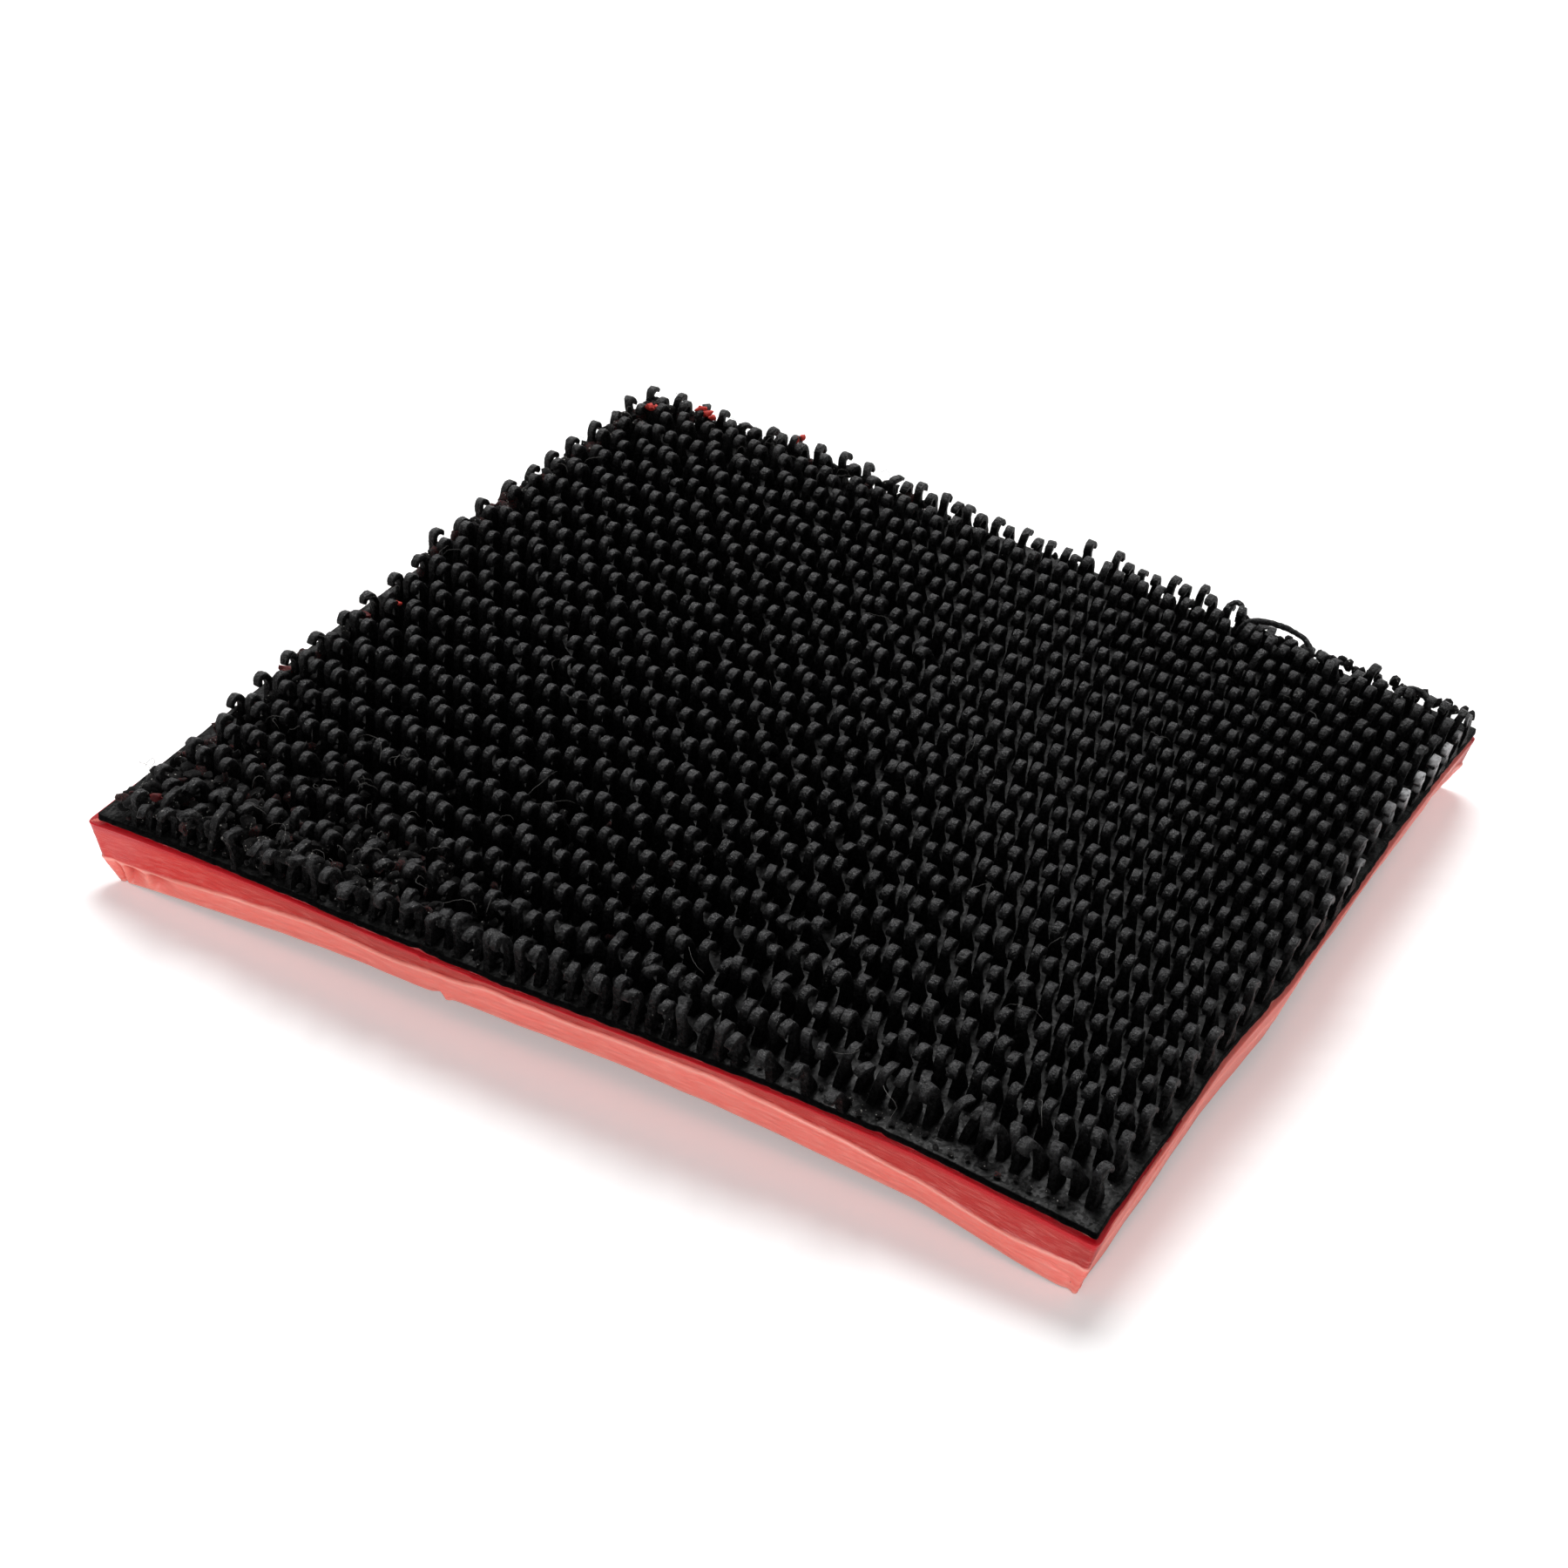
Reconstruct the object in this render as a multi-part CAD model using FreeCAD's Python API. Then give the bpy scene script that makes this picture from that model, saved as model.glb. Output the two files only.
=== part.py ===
import FreeCAD, Part
import math
import os

# Hook-and-loop facing pad for a hand sanding block: a laminate of three bonded layers.
#   hook_tape       moulded tape: a thin film with rows of C-shaped hooks moulded in one with it
#   adhesive_layer  thin adhesive between the tape and the rubber
#   rubber_pad      rubber pad with knife-cut, slanting sides
# The laminate is curled: it is part of a cylinder whose axis runs along one diagonal, so the
# other two corners hang lower. It is modelled in a lattice frame, where the hook lattice has its
# origin and z = 0 is CURL_RADIUS above the cylinder's axis, and is then set down on a table.
# Final frame: X along the long cut edge, Y along the short one, Z up, with the origin at the
# bottom centre of the bounding box. Millimetres.

Vector = FreeCAD.Vector

# ---- layers, from the hook crowns down ----
HOOK_HEIGHT = 1.32       # crown above the film's top face
FILM_THICK = 0.24
ADHESIVE_THICK = 0.15
RUBBER_THICK = 2.40
ADHESIVE_INSET = 0.12    # adhesive stops short of the film's edge

# Depths below the crown surface
FILM_TOP = HOOK_HEIGHT
FILM_BOTTOM = FILM_TOP + FILM_THICK
ADHESIVE_BOTTOM = FILM_BOTTOM + ADHESIVE_THICK
RUBBER_BOTTOM = ADHESIVE_BOTTOM + RUBBER_THICK

# ---- curl ----
CURL_RADIUS = 125.9      # radius of the crown surface
CURL_ANGLE = math.radians(47.69)   # direction of the curl's slope, from X
CURL_OFFSET = 0.58       # distance of the ridge line from the lattice origin, along the slope
SLOPE_X, SLOPE_Y = math.cos(CURL_ANGLE), math.sin(CURL_ANGLE)
CYLINDER_LENGTH = 120.0  # longer than the pad's diagonal

# ---- hook lattice ----
LANE_PITCH = 0.60        # between neighbouring lanes, across X; facing directions alternate
ROW_PITCH = 1.44         # between hooks in a lane, along Y
BACK_SHIFT = 0.42        # crown of a +Y hook relative to the crown of a -Y hook in the same row
ROWS = range(-11, 13)
# Each set of lanes: facing (-1 curls towards -Y, 1 towards +Y), lane numbers, X and Y shift
LANE_SETS = [
    (-1, range(-16, 15), 0.0, 0.0),
    (1, range(-17, 15), LANE_PITCH, BACK_SHIFT),
]
TORN = [(-19.5, 1.0), (-18.9, -10.5)]   # torn off: no hooks left of x and in front of y

# ---- one hook ----
HOOK_THICK = 0.34        # across X
HOOK_ROOT = 0.08         # how far the foot is sunk in the film
ROOT_Z = -HOOK_HEIGHT - HOOK_ROOT
# Outline in the hook's own plane: lines (two points) and arcs (three points).
# First number: towards the tip. Second: height from the crown.
HOOK_OUTLINE = [
    [(-0.74, ROOT_Z), (-0.44, -0.58)],                    # back of the foot and stem
    [(-0.44, -0.58), (-0.345, -0.175), (-0.10, 0.0)],     # stem into the crown
    [(-0.10, 0.0), (0.165, -0.10), (0.27, -0.32)],        # crown over to the tip
    [(0.27, -0.32), (0.145, -0.42)],                      # blunt tip
    [(0.145, -0.42), (-0.03, -0.24), (-0.205, -0.48)],    # under the arch
    [(-0.205, -0.48), (0.14, ROOT_Z)],                    # front of the foot
    [(0.14, ROOT_Z), (-0.74, ROOT_Z)],                    # bottom
]
FOOT_BACK, FOOT_FRONT = -0.711, 0.11    # where the foot meets the film, towards the tip

# ---- hooks at the cut edges ----
EDGE_GAP = 0.03          # least distance from a foot to the film's cut edge
EDGE_LEAN = 0.22         # edge hooks are pushed in by up to this much by the knife
EDGE_TRIM = 0.33         # and lose up to this much of their foot, or are gone
LEAST_TRIM = 0.02        # a smaller cut is left out
UNDER_TIP = -0.50        # a foot is cut under its tip only below this height, so the tip stays

# ---- film outline: (x, y) corner by corner, counterclockwise ----
FRONT_EDGE = [
    (-20.16, -15.88), (-19.1, -15.88), (-14.0, -15.98), (-7.8, -16.14), (-2.3, -16.10),
    (2.8, -15.80), (7.7, -15.48), (12.2, -15.28), (15.7, -15.36), (18.0, -15.36),
]
RIGHT_EDGE = [
    (18.05, -15.30), (17.98, -14.4), (17.82, -10.2), (17.62, -6.2), (17.68, -1.3),
    (17.30, 5.3), (16.95, 10.5), (16.75, 14.5), (16.56, 19.05),
]
BACK_EDGE = [
    (16.5, 19.1), (11.4, 18.35), (6.0, 17.8), (-1.4, 17.1), (-9.1, 16.4), (-15.6, 16.35),
    (-20.0, 16.3),
]
LEFT_EDGE = [
    (-20.05, 16.2), (-20.2, 10.0), (-20.0, 4.0), (-20.15, -3.0), (-20.05, -10.0),
    (-20.2, -15.82),
]
FILM_EDGES = [FRONT_EDGE, RIGHT_EDGE, BACK_EDGE, LEFT_EDGE]
POINT_STEP = 1.9         # greatest distance between points along a side

# Rubber against the film, side by side in the same order. Each entry: share of the side from
# its first corner, how far the top edge stands out, how far the bottom edge is cut back.
RUBBER_FRONT = [
    (0.0, 0.10, 0.12), (0.03, 0.08, 0.18), (0.12, 0.03, 0.42), (0.2, 0.0, 0.66),
    (0.28, 0.0, 0.88), (0.4, 0.0, 0.97), (0.55, 0.0, 1.08), (0.63, 0.0, 0.98),
    (0.72, 0.0, 0.80), (0.8, 0.0, 0.67), (0.86, 0.0, 0.58), (0.92, 0.0, 0.30),
    (0.96, 0.04, 0.16), (1.0, 0.08, 0.16),
]
RUBBER_RIGHT = [
    (0.0, 0.10, 0.40), (0.1, 0.10, 0.36), (0.25, 0.08, 0.40), (0.5, 0.06, 0.58),
    (0.75, 0.06, 0.66), (1.0, 0.05, 0.75),
]
RUBBER_BACK = [(0.0, 0.05, 0.60), (0.5, 0.10, 0.50), (0.85, 0.35, 0.45), (1.0, 0.40, 0.45)]
RUBBER_LEFT = [(0.0, 0.40, 0.60), (0.3, 0.30, 0.70), (0.7, 0.30, 0.75), (1.0, 0.48, 0.78)]
RUBBER_SIDES = [RUBBER_FRONT, RUBBER_RIGHT, RUBBER_BACK, RUBBER_LEFT]


# ---- curled surfaces ----
def from_ridge(x, y):
    """Distance of (x, y) from the ridge line, along the slope."""
    return x * SLOPE_X + y * SLOPE_Y - CURL_OFFSET


def on_surface(x, y, depth=0.0):
    """The point above (x, y) on the curled surface that lies depth below the crown surface."""
    radius = CURL_RADIUS - depth
    return Vector(x, y, math.sqrt(radius * radius - from_ridge(x, y) ** 2) - CURL_RADIUS)


def surface_normal(x, y):
    sine = from_ridge(x, y) / CURL_RADIUS
    return Vector(sine * SLOPE_X, sine * SLOPE_Y, math.sqrt(1 - sine * sine))


def cylinder_wall(top_depth, bottom_depth):
    """The cylinder wall between two depths below the crown surface."""
    axis = Vector(-SLOPE_Y, SLOPE_X, 0)
    ridge = Vector(CURL_OFFSET * SLOPE_X, CURL_OFFSET * SLOPE_Y, -CURL_RADIUS)
    base = ridge - axis * (CYLINDER_LENGTH / 2)
    outer, inner = (Part.makeCylinder(CURL_RADIUS - depth, CYLINDER_LENGTH, base, axis)
                    for depth in (top_depth, bottom_depth))
    return outer.cut(inner)


# ---- outlines ----
def side_points(side):
    """Points along one side, no further apart than POINT_STEP."""
    points = []
    for (x0, y0), (x1, y1) in zip(side, side[1:]):
        count = max(1, int(math.ceil(math.hypot(x1 - x0, y1 - y0) / POINT_STEP)))
        points += [(x0 + (x1 - x0) * i / count, y0 + (y1 - y0) * i / count)
                   for i in range(count)]
    return points + [side[-1]]


def interpolate(table, position):
    """Value at a position in a table of (position, value), level beyond its end."""
    for (start, value), (end, next_value) in zip(table, table[1:]):
        if position <= end:
            return value + (next_value - value) * ((position - start) / (end - start))
    return table[-1][1]


def moved_side(side, outsets):
    """One side's points moved outwards, square to the line between the side's ends."""
    points = side_points(side)
    lengths = [0.0]
    for (x0, y0), (x1, y1) in zip(points, points[1:]):
        lengths.append(lengths[-1] + math.hypot(x1 - x0, y1 - y0))
    dx, dy = points[-1][0] - points[0][0], points[-1][1] - points[0][1]
    span = math.hypot(dx, dy)
    moved = []
    for (x, y), length in zip(points, lengths):
        outset = interpolate(outsets, length / lengths[-1])
        moved.append((x + dy / span * outset, y - dx / span * outset))
    return moved


def crossing(a, b, c, d):
    """Where the line through a and b crosses the line through c and d."""
    abx, aby = a[0] - b[0], a[1] - b[1]
    cdx, cdy = c[0] - d[0], c[1] - d[1]
    determinant = abx * cdy - aby * cdx
    ab = a[0] * b[1] - a[1] * b[0]
    cd = c[0] * d[1] - c[1] * d[0]
    return ((ab * cdx - abx * cd) / determinant, (ab * cdy - aby * cd) / determinant)


def outline_sides(side_outsets):
    """The film's four sides moved outwards, each starting at the corner it shares with the
    side before and stopping short of its last corner. The first starts at the left front."""
    moved = [moved_side(side, outsets) for side, outsets in zip(FILM_EDGES, side_outsets)]
    return [[crossing(moved[i - 1][-2], moved[i - 1][-1], side[0], side[1])] + side[1:-1]
            for i, side in enumerate(moved)]


def joined(sides):
    return [point for side in sides for point in side]


def even_outline(outset):
    """The closed film outline, moved outwards by the same distance all round."""
    return joined(outline_sides([[(0.0, outset), (1.0, outset)]] * 4))


# ---- layers ----
def cutter(top, bottom, top_depth, bottom_depth, reach=0.5):
    """A closed solid whose wall passes through the top outline at top_depth and the bottom
    outline at bottom_depth, and is carried on by reach beyond both."""
    upper, lower = [], []
    for top_point, bottom_point in zip(top, bottom):
        start = on_surface(*top_point, top_depth)
        end = on_surface(*bottom_point, bottom_depth)
        extension = (end - start) * (reach / (end - start).Length)
        upper.append(start - extension)
        lower.append(end + extension)
    top_centre = Vector(0, 0, max(p.z for p in upper) + 0.5)
    bottom_centre = Vector(0, 0, max(p.z for p in lower) - 0.5)
    triangles = []
    for i in range(len(upper)):
        j = (i + 1) % len(upper)
        triangles += [
            (upper[i], lower[i], lower[j]),
            (upper[i], lower[j], upper[j]),
            (top_centre, upper[i], upper[j]),
            (bottom_centre, lower[j], lower[i]),
        ]
    faces = [Part.Face(Part.makePolygon([a, b, c, a])) for a, b, c in triangles]
    solid = Part.Solid(Part.makeShell(faces))
    if solid.Volume < 0:
        solid.reverse()
    return solid


def largest_solid(shape):
    return max(shape.Solids, key=lambda solid: solid.Volume)


def layer(top, bottom, top_depth, bottom_depth):
    wall = cylinder_wall(top_depth, bottom_depth)
    return largest_solid(wall.common(cutter(top, bottom, top_depth, bottom_depth)))


# ---- hooks ----
def hook_blank(facing):
    edges = []
    for outline_points in HOOK_OUTLINE:
        points = [Vector(-HOOK_THICK / 2, facing * forward, z) for forward, z in outline_points]
        edges.append(Part.makeLine(*points) if len(points) == 2 else Part.Arc(*points).toShape())
    return Part.Face(Part.Wire(edges)).extrude(Vector(HOOK_THICK, 0, 0))


def trimmed_hook(facing, at_back, cut):
    """A hook whose foot is shortened by cut: at the back of its stem, or under its tip."""
    if at_back:
        start, end, top = -2.0, FOOT_BACK + cut, 1.0
    else:
        start, end, top = FOOT_FRONT - cut, 2.0, UNDER_TIP
    low, high = sorted((facing * start, facing * end))
    knife = Part.makeBox(2.0, high - low, top + 3.0, Vector(-1.0, low, -3.0))
    return largest_solid(hook_blank(facing).cut(knife))


def placed(hook, x, y):
    """A copy of the hook with its crown on the crown surface, square to it."""
    up = surface_normal(x, y)
    across = Vector(1, 0, 0) - up * up.x
    across.normalize()
    along = up.cross(across)
    crown = on_surface(x, y)
    copy = hook.copy()
    copy.Placement = FreeCAD.Placement(FreeCAD.Matrix(
        across.x, along.x, up.x, crown.x,
        across.y, along.y, up.y, crown.y,
        across.z, along.z, up.z, crown.z,
        0, 0, 0, 1))
    return copy


def edge_y(side, x):
    """Y of the front or back edge at x."""
    points = sorted(side)
    for (x0, y0), (x1, y1) in zip(points, points[1:]):
        if x0 <= x <= x1:
            return y0 + (y1 - y0) * (x - x0) / (x1 - x0)
    return points[0][1] if x < points[0][0] else points[-1][1]


def inside(x, y, outline):
    hit = False
    for (x0, y0), (x1, y1) in zip(outline, outline[1:] + outline[:1]):
        if (y0 > y) != (y1 > y) and x < x0 + (y - y0) * (x1 - x0) / (y1 - y0):
            hit = not hit
    return hit


def hook_at(x, y, facing, blank, film_outline):
    """The hook at one lattice place, leaned and trimmed at an edge, or None if it is gone."""
    if any(x < torn_x and y < torn_y for torn_x, torn_y in TORN):
        return None
    normal = surface_normal(x, y)
    foot_x, foot_y = x - normal.x * HOOK_HEIGHT, y - normal.y * HOOK_HEIGHT
    front_limit = edge_y(FRONT_EDGE, foot_x) + EDGE_GAP
    back_limit = edge_y(BACK_EDGE, foot_x) - EDGE_GAP
    foot_low, foot_high = sorted(foot_y + facing * end for end in (FOOT_BACK, FOOT_FRONT))
    over_front, over_back = front_limit - foot_low, foot_high - back_limit
    over = max(over_front, over_back, 0.0)
    if over > EDGE_LEAN + EDGE_TRIM:
        return None
    half_width = HOOK_THICK / 2 + EDGE_GAP
    if not all(inside(foot_x + side * half_width, min(max(end, front_limit), back_limit),
                      film_outline)
               for side in (-1, 1) for end in (foot_low, foot_high)):
        return None
    at_front_edge = over_front > over_back
    lean = min(over, EDGE_LEAN)
    cut = over - lean
    y += lean if at_front_edge else -lean
    if cut > LEAST_TRIM:
        return placed(trimmed_hook(facing, (facing > 0) == at_front_edge, cut), x, y)
    return placed(blank, x, y)


# ---- the three pieces ----
def hook_tape():
    outline = even_outline(0.0)
    film = layer(outline, outline, FILM_TOP, FILM_BOTTOM)
    hooks = []
    for facing, lanes, shift_x, shift_y in LANE_SETS:
        blank = hook_blank(facing)
        for lane in lanes:
            for row in ROWS:
                x = 2 * LANE_PITCH * lane + shift_x
                y = ROW_PITCH * row + shift_y
                hook = hook_at(x, y, facing, blank, outline)
                if hook:
                    hooks.append(hook)
    return largest_solid(film.fuse(hooks))


def adhesive_layer():
    outline = even_outline(-ADHESIVE_INSET)
    return layer(outline, outline, FILM_BOTTOM, ADHESIVE_BOTTOM)


def rubber_bottom_sides():
    return outline_sides([[(share, -inset) for share, _, inset in side]
                          for side in RUBBER_SIDES])


def rubber_pad():
    top = outline_sides([[(share, outset) for share, outset, _ in side]
                         for side in RUBBER_SIDES])
    return layer(joined(top), joined(rubber_bottom_sides()), ADHESIVE_BOTTOM, RUBBER_BOTTOM)


# ---- set down on a table ----
def seat_placement():
    """Stands the pad on the bottom edges of its two low corners and its right front corner,
    with the front edge along X. The left back corner stands clear."""
    left_front, right_front, right_back = (
        on_surface(*side[0], RUBBER_BOTTOM) for side in rubber_bottom_sides()[:3])
    up = (right_front - left_front).cross(right_back - left_front)
    up.normalize()
    level = FreeCAD.Placement(Vector(0, 0, 0), FreeCAD.Rotation(up, Vector(0, 0, 1)))
    front = level.multVec(right_front) - level.multVec(left_front)
    turn = FreeCAD.Rotation(Vector(0, 0, 1), -math.degrees(math.atan2(front.y, front.x)))
    return FreeCAD.Placement(Vector(0, 0, 0), turn).multiply(level)


parts = {
    "hook_tape": hook_tape(),
    "adhesive_layer": adhesive_layer(),
    "rubber_pad": rubber_pad(),
}
seat = seat_placement()
box = FreeCAD.BoundBox()
for shape in parts.values():
    shape.Placement = seat.multiply(shape.Placement)
    box.add(shape.optimalBoundingBox(False, False))
to_origin = Vector(-(box.XMin + box.XMax) / 2, -(box.YMin + box.YMax) / 2, -box.ZMin)

os.makedirs("parts", exist_ok=True)
for name, shape in parts.items():
    shape.translate(to_origin)
    shape.exportStep("parts/%s.step" % name)
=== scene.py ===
# A small hook-faced pad, about 37 x 34 mm: rows of plastic hooks on a film, a thin adhesive
# layer and a block of red rubber with knife-cut sides, the whole curled about a slanted axis.
#
# The pad is laid out in its own flat plan, in millimetres: X across the hook lanes (left to
# right), Y along them (front to back), Z up out of the hook face, 0 at the hooks' crowns on the
# curl's ridge. TO_ROW carries plan points into the row frame, where they are stored in metres.
import math
from collections import namedtuple
from types import SimpleNamespace

import bpy
import bmesh
import numpy as np
from mathutils import Matrix, Vector
from mathutils.geometry import delaunay_2d_cdt


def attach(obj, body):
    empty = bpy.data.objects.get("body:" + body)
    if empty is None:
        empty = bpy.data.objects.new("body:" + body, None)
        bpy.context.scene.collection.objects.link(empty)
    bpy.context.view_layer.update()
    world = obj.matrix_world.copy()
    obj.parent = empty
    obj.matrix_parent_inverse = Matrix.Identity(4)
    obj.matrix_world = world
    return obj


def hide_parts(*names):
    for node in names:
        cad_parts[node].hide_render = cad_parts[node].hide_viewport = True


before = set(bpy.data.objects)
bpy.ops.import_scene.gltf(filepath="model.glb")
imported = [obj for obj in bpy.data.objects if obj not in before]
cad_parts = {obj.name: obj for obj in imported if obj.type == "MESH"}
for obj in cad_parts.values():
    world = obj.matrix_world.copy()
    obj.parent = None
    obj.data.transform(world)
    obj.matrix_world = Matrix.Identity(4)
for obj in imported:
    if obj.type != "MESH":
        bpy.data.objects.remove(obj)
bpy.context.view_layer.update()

# Rotation, and in the last column the shift in mm, from the plan to the row frame
TO_ROW = np.array([
    (0.9973516, 0.0140212, 0.0713662, 1.7028924),
    (-0.009312, 0.9977831, -0.0658956, -1.618609),
    (-0.0721319, 0.0650565, 0.9952711, 6.3520336)])
MM = 0.001

LANE, ROW = 0.60, 1.44                 # hook pitch across and along the lanes
HOOK_H, FILM_T, GLUE_T, RUBBER_T = 1.32, 0.24, 0.15, 2.40
FILM_TOP = HOOK_H                      # depths below the crowns
GLUE_TOP = FILM_TOP + FILM_T
RUBBER_TOP = GLUE_TOP + GLUE_T
RUBBER_BOTTOM = RUBBER_TOP + RUBBER_T

CURL_RADIUS, CURL_ANGLE, CURL_OFFSET = 125.9, math.radians(47.69), 0.58
CURL_COS, CURL_SIN = math.cos(CURL_ANGLE), math.sin(CURL_ANGLE)

# The film's four sides, counterclockwise from the front left corner: (x, y)
FRONT_EDGE = [
    (-20.16, -15.88), (-19.1, -15.88), (-14.0, -15.98), (-7.8, -16.14), (-2.3, -16.10),
    (2.8, -15.80), (7.7, -15.48), (12.2, -15.28), (15.7, -15.36), (18.0, -15.36)]
RIGHT_EDGE = [
    (18.05, -15.30), (17.98, -14.4), (17.82, -10.2), (17.62, -6.2), (17.68, -1.3),
    (17.30, 5.3), (16.95, 10.5), (16.75, 14.5), (16.56, 19.05)]
BACK_EDGE = [
    (16.5, 19.1), (11.4, 18.35), (6.0, 17.8), (-1.4, 17.1), (-9.1, 16.4), (-15.6, 16.35),
    (-20.0, 16.3)]
LEFT_EDGE = [
    (-20.05, 16.2), (-20.2, 10.0), (-20.0, 4.0), (-20.15, -3.0), (-20.05, -10.0),
    (-20.2, -15.82)]
EDGES = (FRONT_EDGE, RIGHT_EDGE, BACK_EDGE, LEFT_EDGE)
FRONT = 0                              # the front side's place in EDGES

# The rubber against the film, side by side in the same order:
# (share along the side, how far its top stands out, how far its bottom is drawn in)
RUBBER_SIDES = [np.array(rows) for rows in (
    [(0.0, 0.10, 0.12), (0.03, 0.08, 0.18), (0.12, 0.03, 0.42), (0.2, 0.0, 0.66),
     (0.28, 0.0, 0.88), (0.4, 0.0, 0.97), (0.55, 0.0, 1.08), (0.63, 0.0, 0.98),
     (0.72, 0.0, 0.80), (0.8, 0.0, 0.67), (0.86, 0.0, 0.58), (0.92, 0.0, 0.30),
     (0.96, 0.04, 0.16), (1.0, 0.08, 0.16)],
    [(0.0, 0.10, 0.40), (0.1, 0.10, 0.36), (0.25, 0.08, 0.40), (0.5, 0.06, 0.58),
     (0.75, 0.06, 0.66), (1.0, 0.05, 0.75)],
    [(0.0, 0.05, 0.60), (0.5, 0.10, 0.50), (0.85, 0.35, 0.45), (1.0, 0.40, 0.45)],
    [(0.0, 0.40, 0.60), (0.3, 0.30, 0.70), (0.7, 0.30, 0.75), (1.0, 0.48, 0.78)])]
GLUE_INSET = 0.12

SIDE_STEP = 1.9                        # longest straight piece of an outline
STEP = 0.10         # spacing of the samples round the outline


# ---- Curl, noise and easing ----

def across_curl(x, y):
    """Distance from the curl's ridge, square to its axis."""
    return np.asarray(x) * CURL_COS + np.asarray(y) * CURL_SIN - CURL_OFFSET


def drop(x, y, depth=0.0):
    """Height of the curled sheet lying at a depth below the crowns."""
    radius = CURL_RADIUS - depth
    across = across_curl(x, y)
    return np.sqrt(radius * radius - across * across) - CURL_RADIUS


def surface_normal(x, y):
    lean = across_curl(x, y) / CURL_RADIUS
    return np.array([lean * CURL_COS, lean * CURL_SIN, math.sqrt(1 - lean ** 2)])


def noise1(x, seed):
    table = np.random.default_rng(seed).uniform(-1, 1, 4099)
    x = np.asarray(x, float) + 517.3
    i = np.floor(x).astype(int)
    f = x - i
    f = f * f * (3 - 2 * f)
    return table[i % 4099] * (1 - f) + table[(i + 1) % 4099] * f


def noise2(x, y, seed):
    table = np.random.default_rng(seed).uniform(-1, 1, (257, 257))
    x, y = np.asarray(x, float) + 301.7, np.asarray(y, float) + 211.9
    i, j = np.floor(x).astype(int), np.floor(y).astype(int)
    f, g = x - i, y - j
    f, g = f * f * (3 - 2 * f), g * g * (3 - 2 * g)
    i0, i1, j0, j1 = i % 257, (i + 1) % 257, j % 257, (j + 1) % 257
    near = table[i0, j0] * (1 - f) + table[i1, j0] * f
    far = table[i0, j1] * (1 - f) + table[i1, j1] * f
    return near * (1 - g) + far * g


def bump(x, centre, width):
    return np.exp(-((np.asarray(x, float) - centre) / width) ** 2)


def hill(x, y, centre, width):
    """The same as bump, over the plan."""
    return math.exp(-(((x - centre[0]) / width[0]) ** 2 + ((y - centre[1]) / width[1]) ** 2))


def ease(x, start, end):
    """0 before start, 1 after end."""
    t = np.clip((np.asarray(x, float) - start) / (end - start), 0, 1)
    return t * t * (3 - 2 * t)


# ---- Outlines ----

def side_points(side):
    points = []
    for (x0, y0), (x1, y1) in zip(side, side[1:]):
        count = max(1, math.ceil(math.hypot(x1 - x0, y1 - y0) / SIDE_STEP))
        points += [(x0 + (x1 - x0) * i / count, y0 + (y1 - y0) * i / count)
                   for i in range(count)]
    return points + [side[-1]]


def outward(side):
    """Unit direction out of the pad, square to the line between the side's ends."""
    dx, dy = side[-1][0] - side[0][0], side[-1][1] - side[0][1]
    length = math.hypot(dx, dy)
    return dy / length, -dx / length


def moved_side(side, shares, offsets):
    points = np.array(side_points(side))
    length = np.r_[0, np.cumsum(np.linalg.norm(np.diff(points, axis=0), axis=1))]
    offset = np.interp(length / length[-1], shares, offsets)
    return points + np.outer(offset, outward(side))


def meet(a, b, c, d):
    """Where the lines a-b and c-d cross."""
    den = (a[0] - b[0]) * (c[1] - d[1]) - (a[1] - b[1]) * (c[0] - d[0])
    ab, cd = a[0] * b[1] - a[1] * b[0], c[0] * d[1] - c[1] * d[0]
    return [(ab * (c[i] - d[i]) - (a[i] - b[i]) * cd) / den for i in (0, 1)]


def outline(offsets):
    """Closed outline of the four sides moved out by (shares, offsets), with mitred corners."""
    sides = [moved_side(side, *rows) for side, rows in zip(EDGES, offsets)]
    points = []
    for i, side in enumerate(sides):
        before = sides[i - 1]
        points.append(meet(before[-2], before[-1], side[0], side[1]))
        points += list(side[1:-1])
    return np.array(points)


def even_outline(offset):
    return outline([((0, 1), (offset, offset))] * 4)


def ring_filter(values, sigma):
    """Gaussian smoothing round the closed outline, sigma in samples."""
    reach = int(3 * sigma) + 1
    kernel = np.exp(-0.5 * (np.arange(-reach, reach + 1) / sigma) ** 2)
    kernel /= kernel.sum()
    smoothed = np.zeros_like(values)
    for weight, shift in zip(kernel, range(-reach, reach + 1)):
        smoothed += weight * np.roll(values, shift, axis=0)
    return smoothed


def is_inside(x, y, poly):
    x, y = np.asarray(x, float), np.asarray(y, float)
    inside = np.zeros(x.shape, bool)
    for (x0, y0), (x1, y1) in zip(poly, np.roll(poly, -1, 0)):
        if y0 == y1:
            continue
        inside ^= ((y0 > y) != (y1 > y)) & (x < x0 + (y - y0) * (x1 - x0) / (y1 - y0))
    return inside


def edge_distance(x, y, poly, chunk=400):
    """Distance from points to the closed outline, worked out a chunk of points at a time."""
    span = np.roll(poly, -1, 0) - poly
    length2 = np.maximum((span ** 2).sum(1), 1e-12)
    points = np.c_[x, y]
    out = np.empty(len(points))
    for i in range(0, len(points), chunk):
        offset = points[i:i + chunk, None, :] - poly[None]
        t = np.clip((offset * span[None]).sum(2) / length2[None], 0, 1)
        gap = offset - t[..., None] * span[None]
        out[i:i + chunk] = np.sqrt((gap ** 2).sum(2)).min(1)
    return out


def edge_at(side, value, along=0):
    """Y of a side at an x, or with along=1 its x at a y."""
    points = np.array(side)
    points = points[np.argsort(points[:, along])]
    return np.interp(value, points[:, along], points[:, 1 - along])


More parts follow.
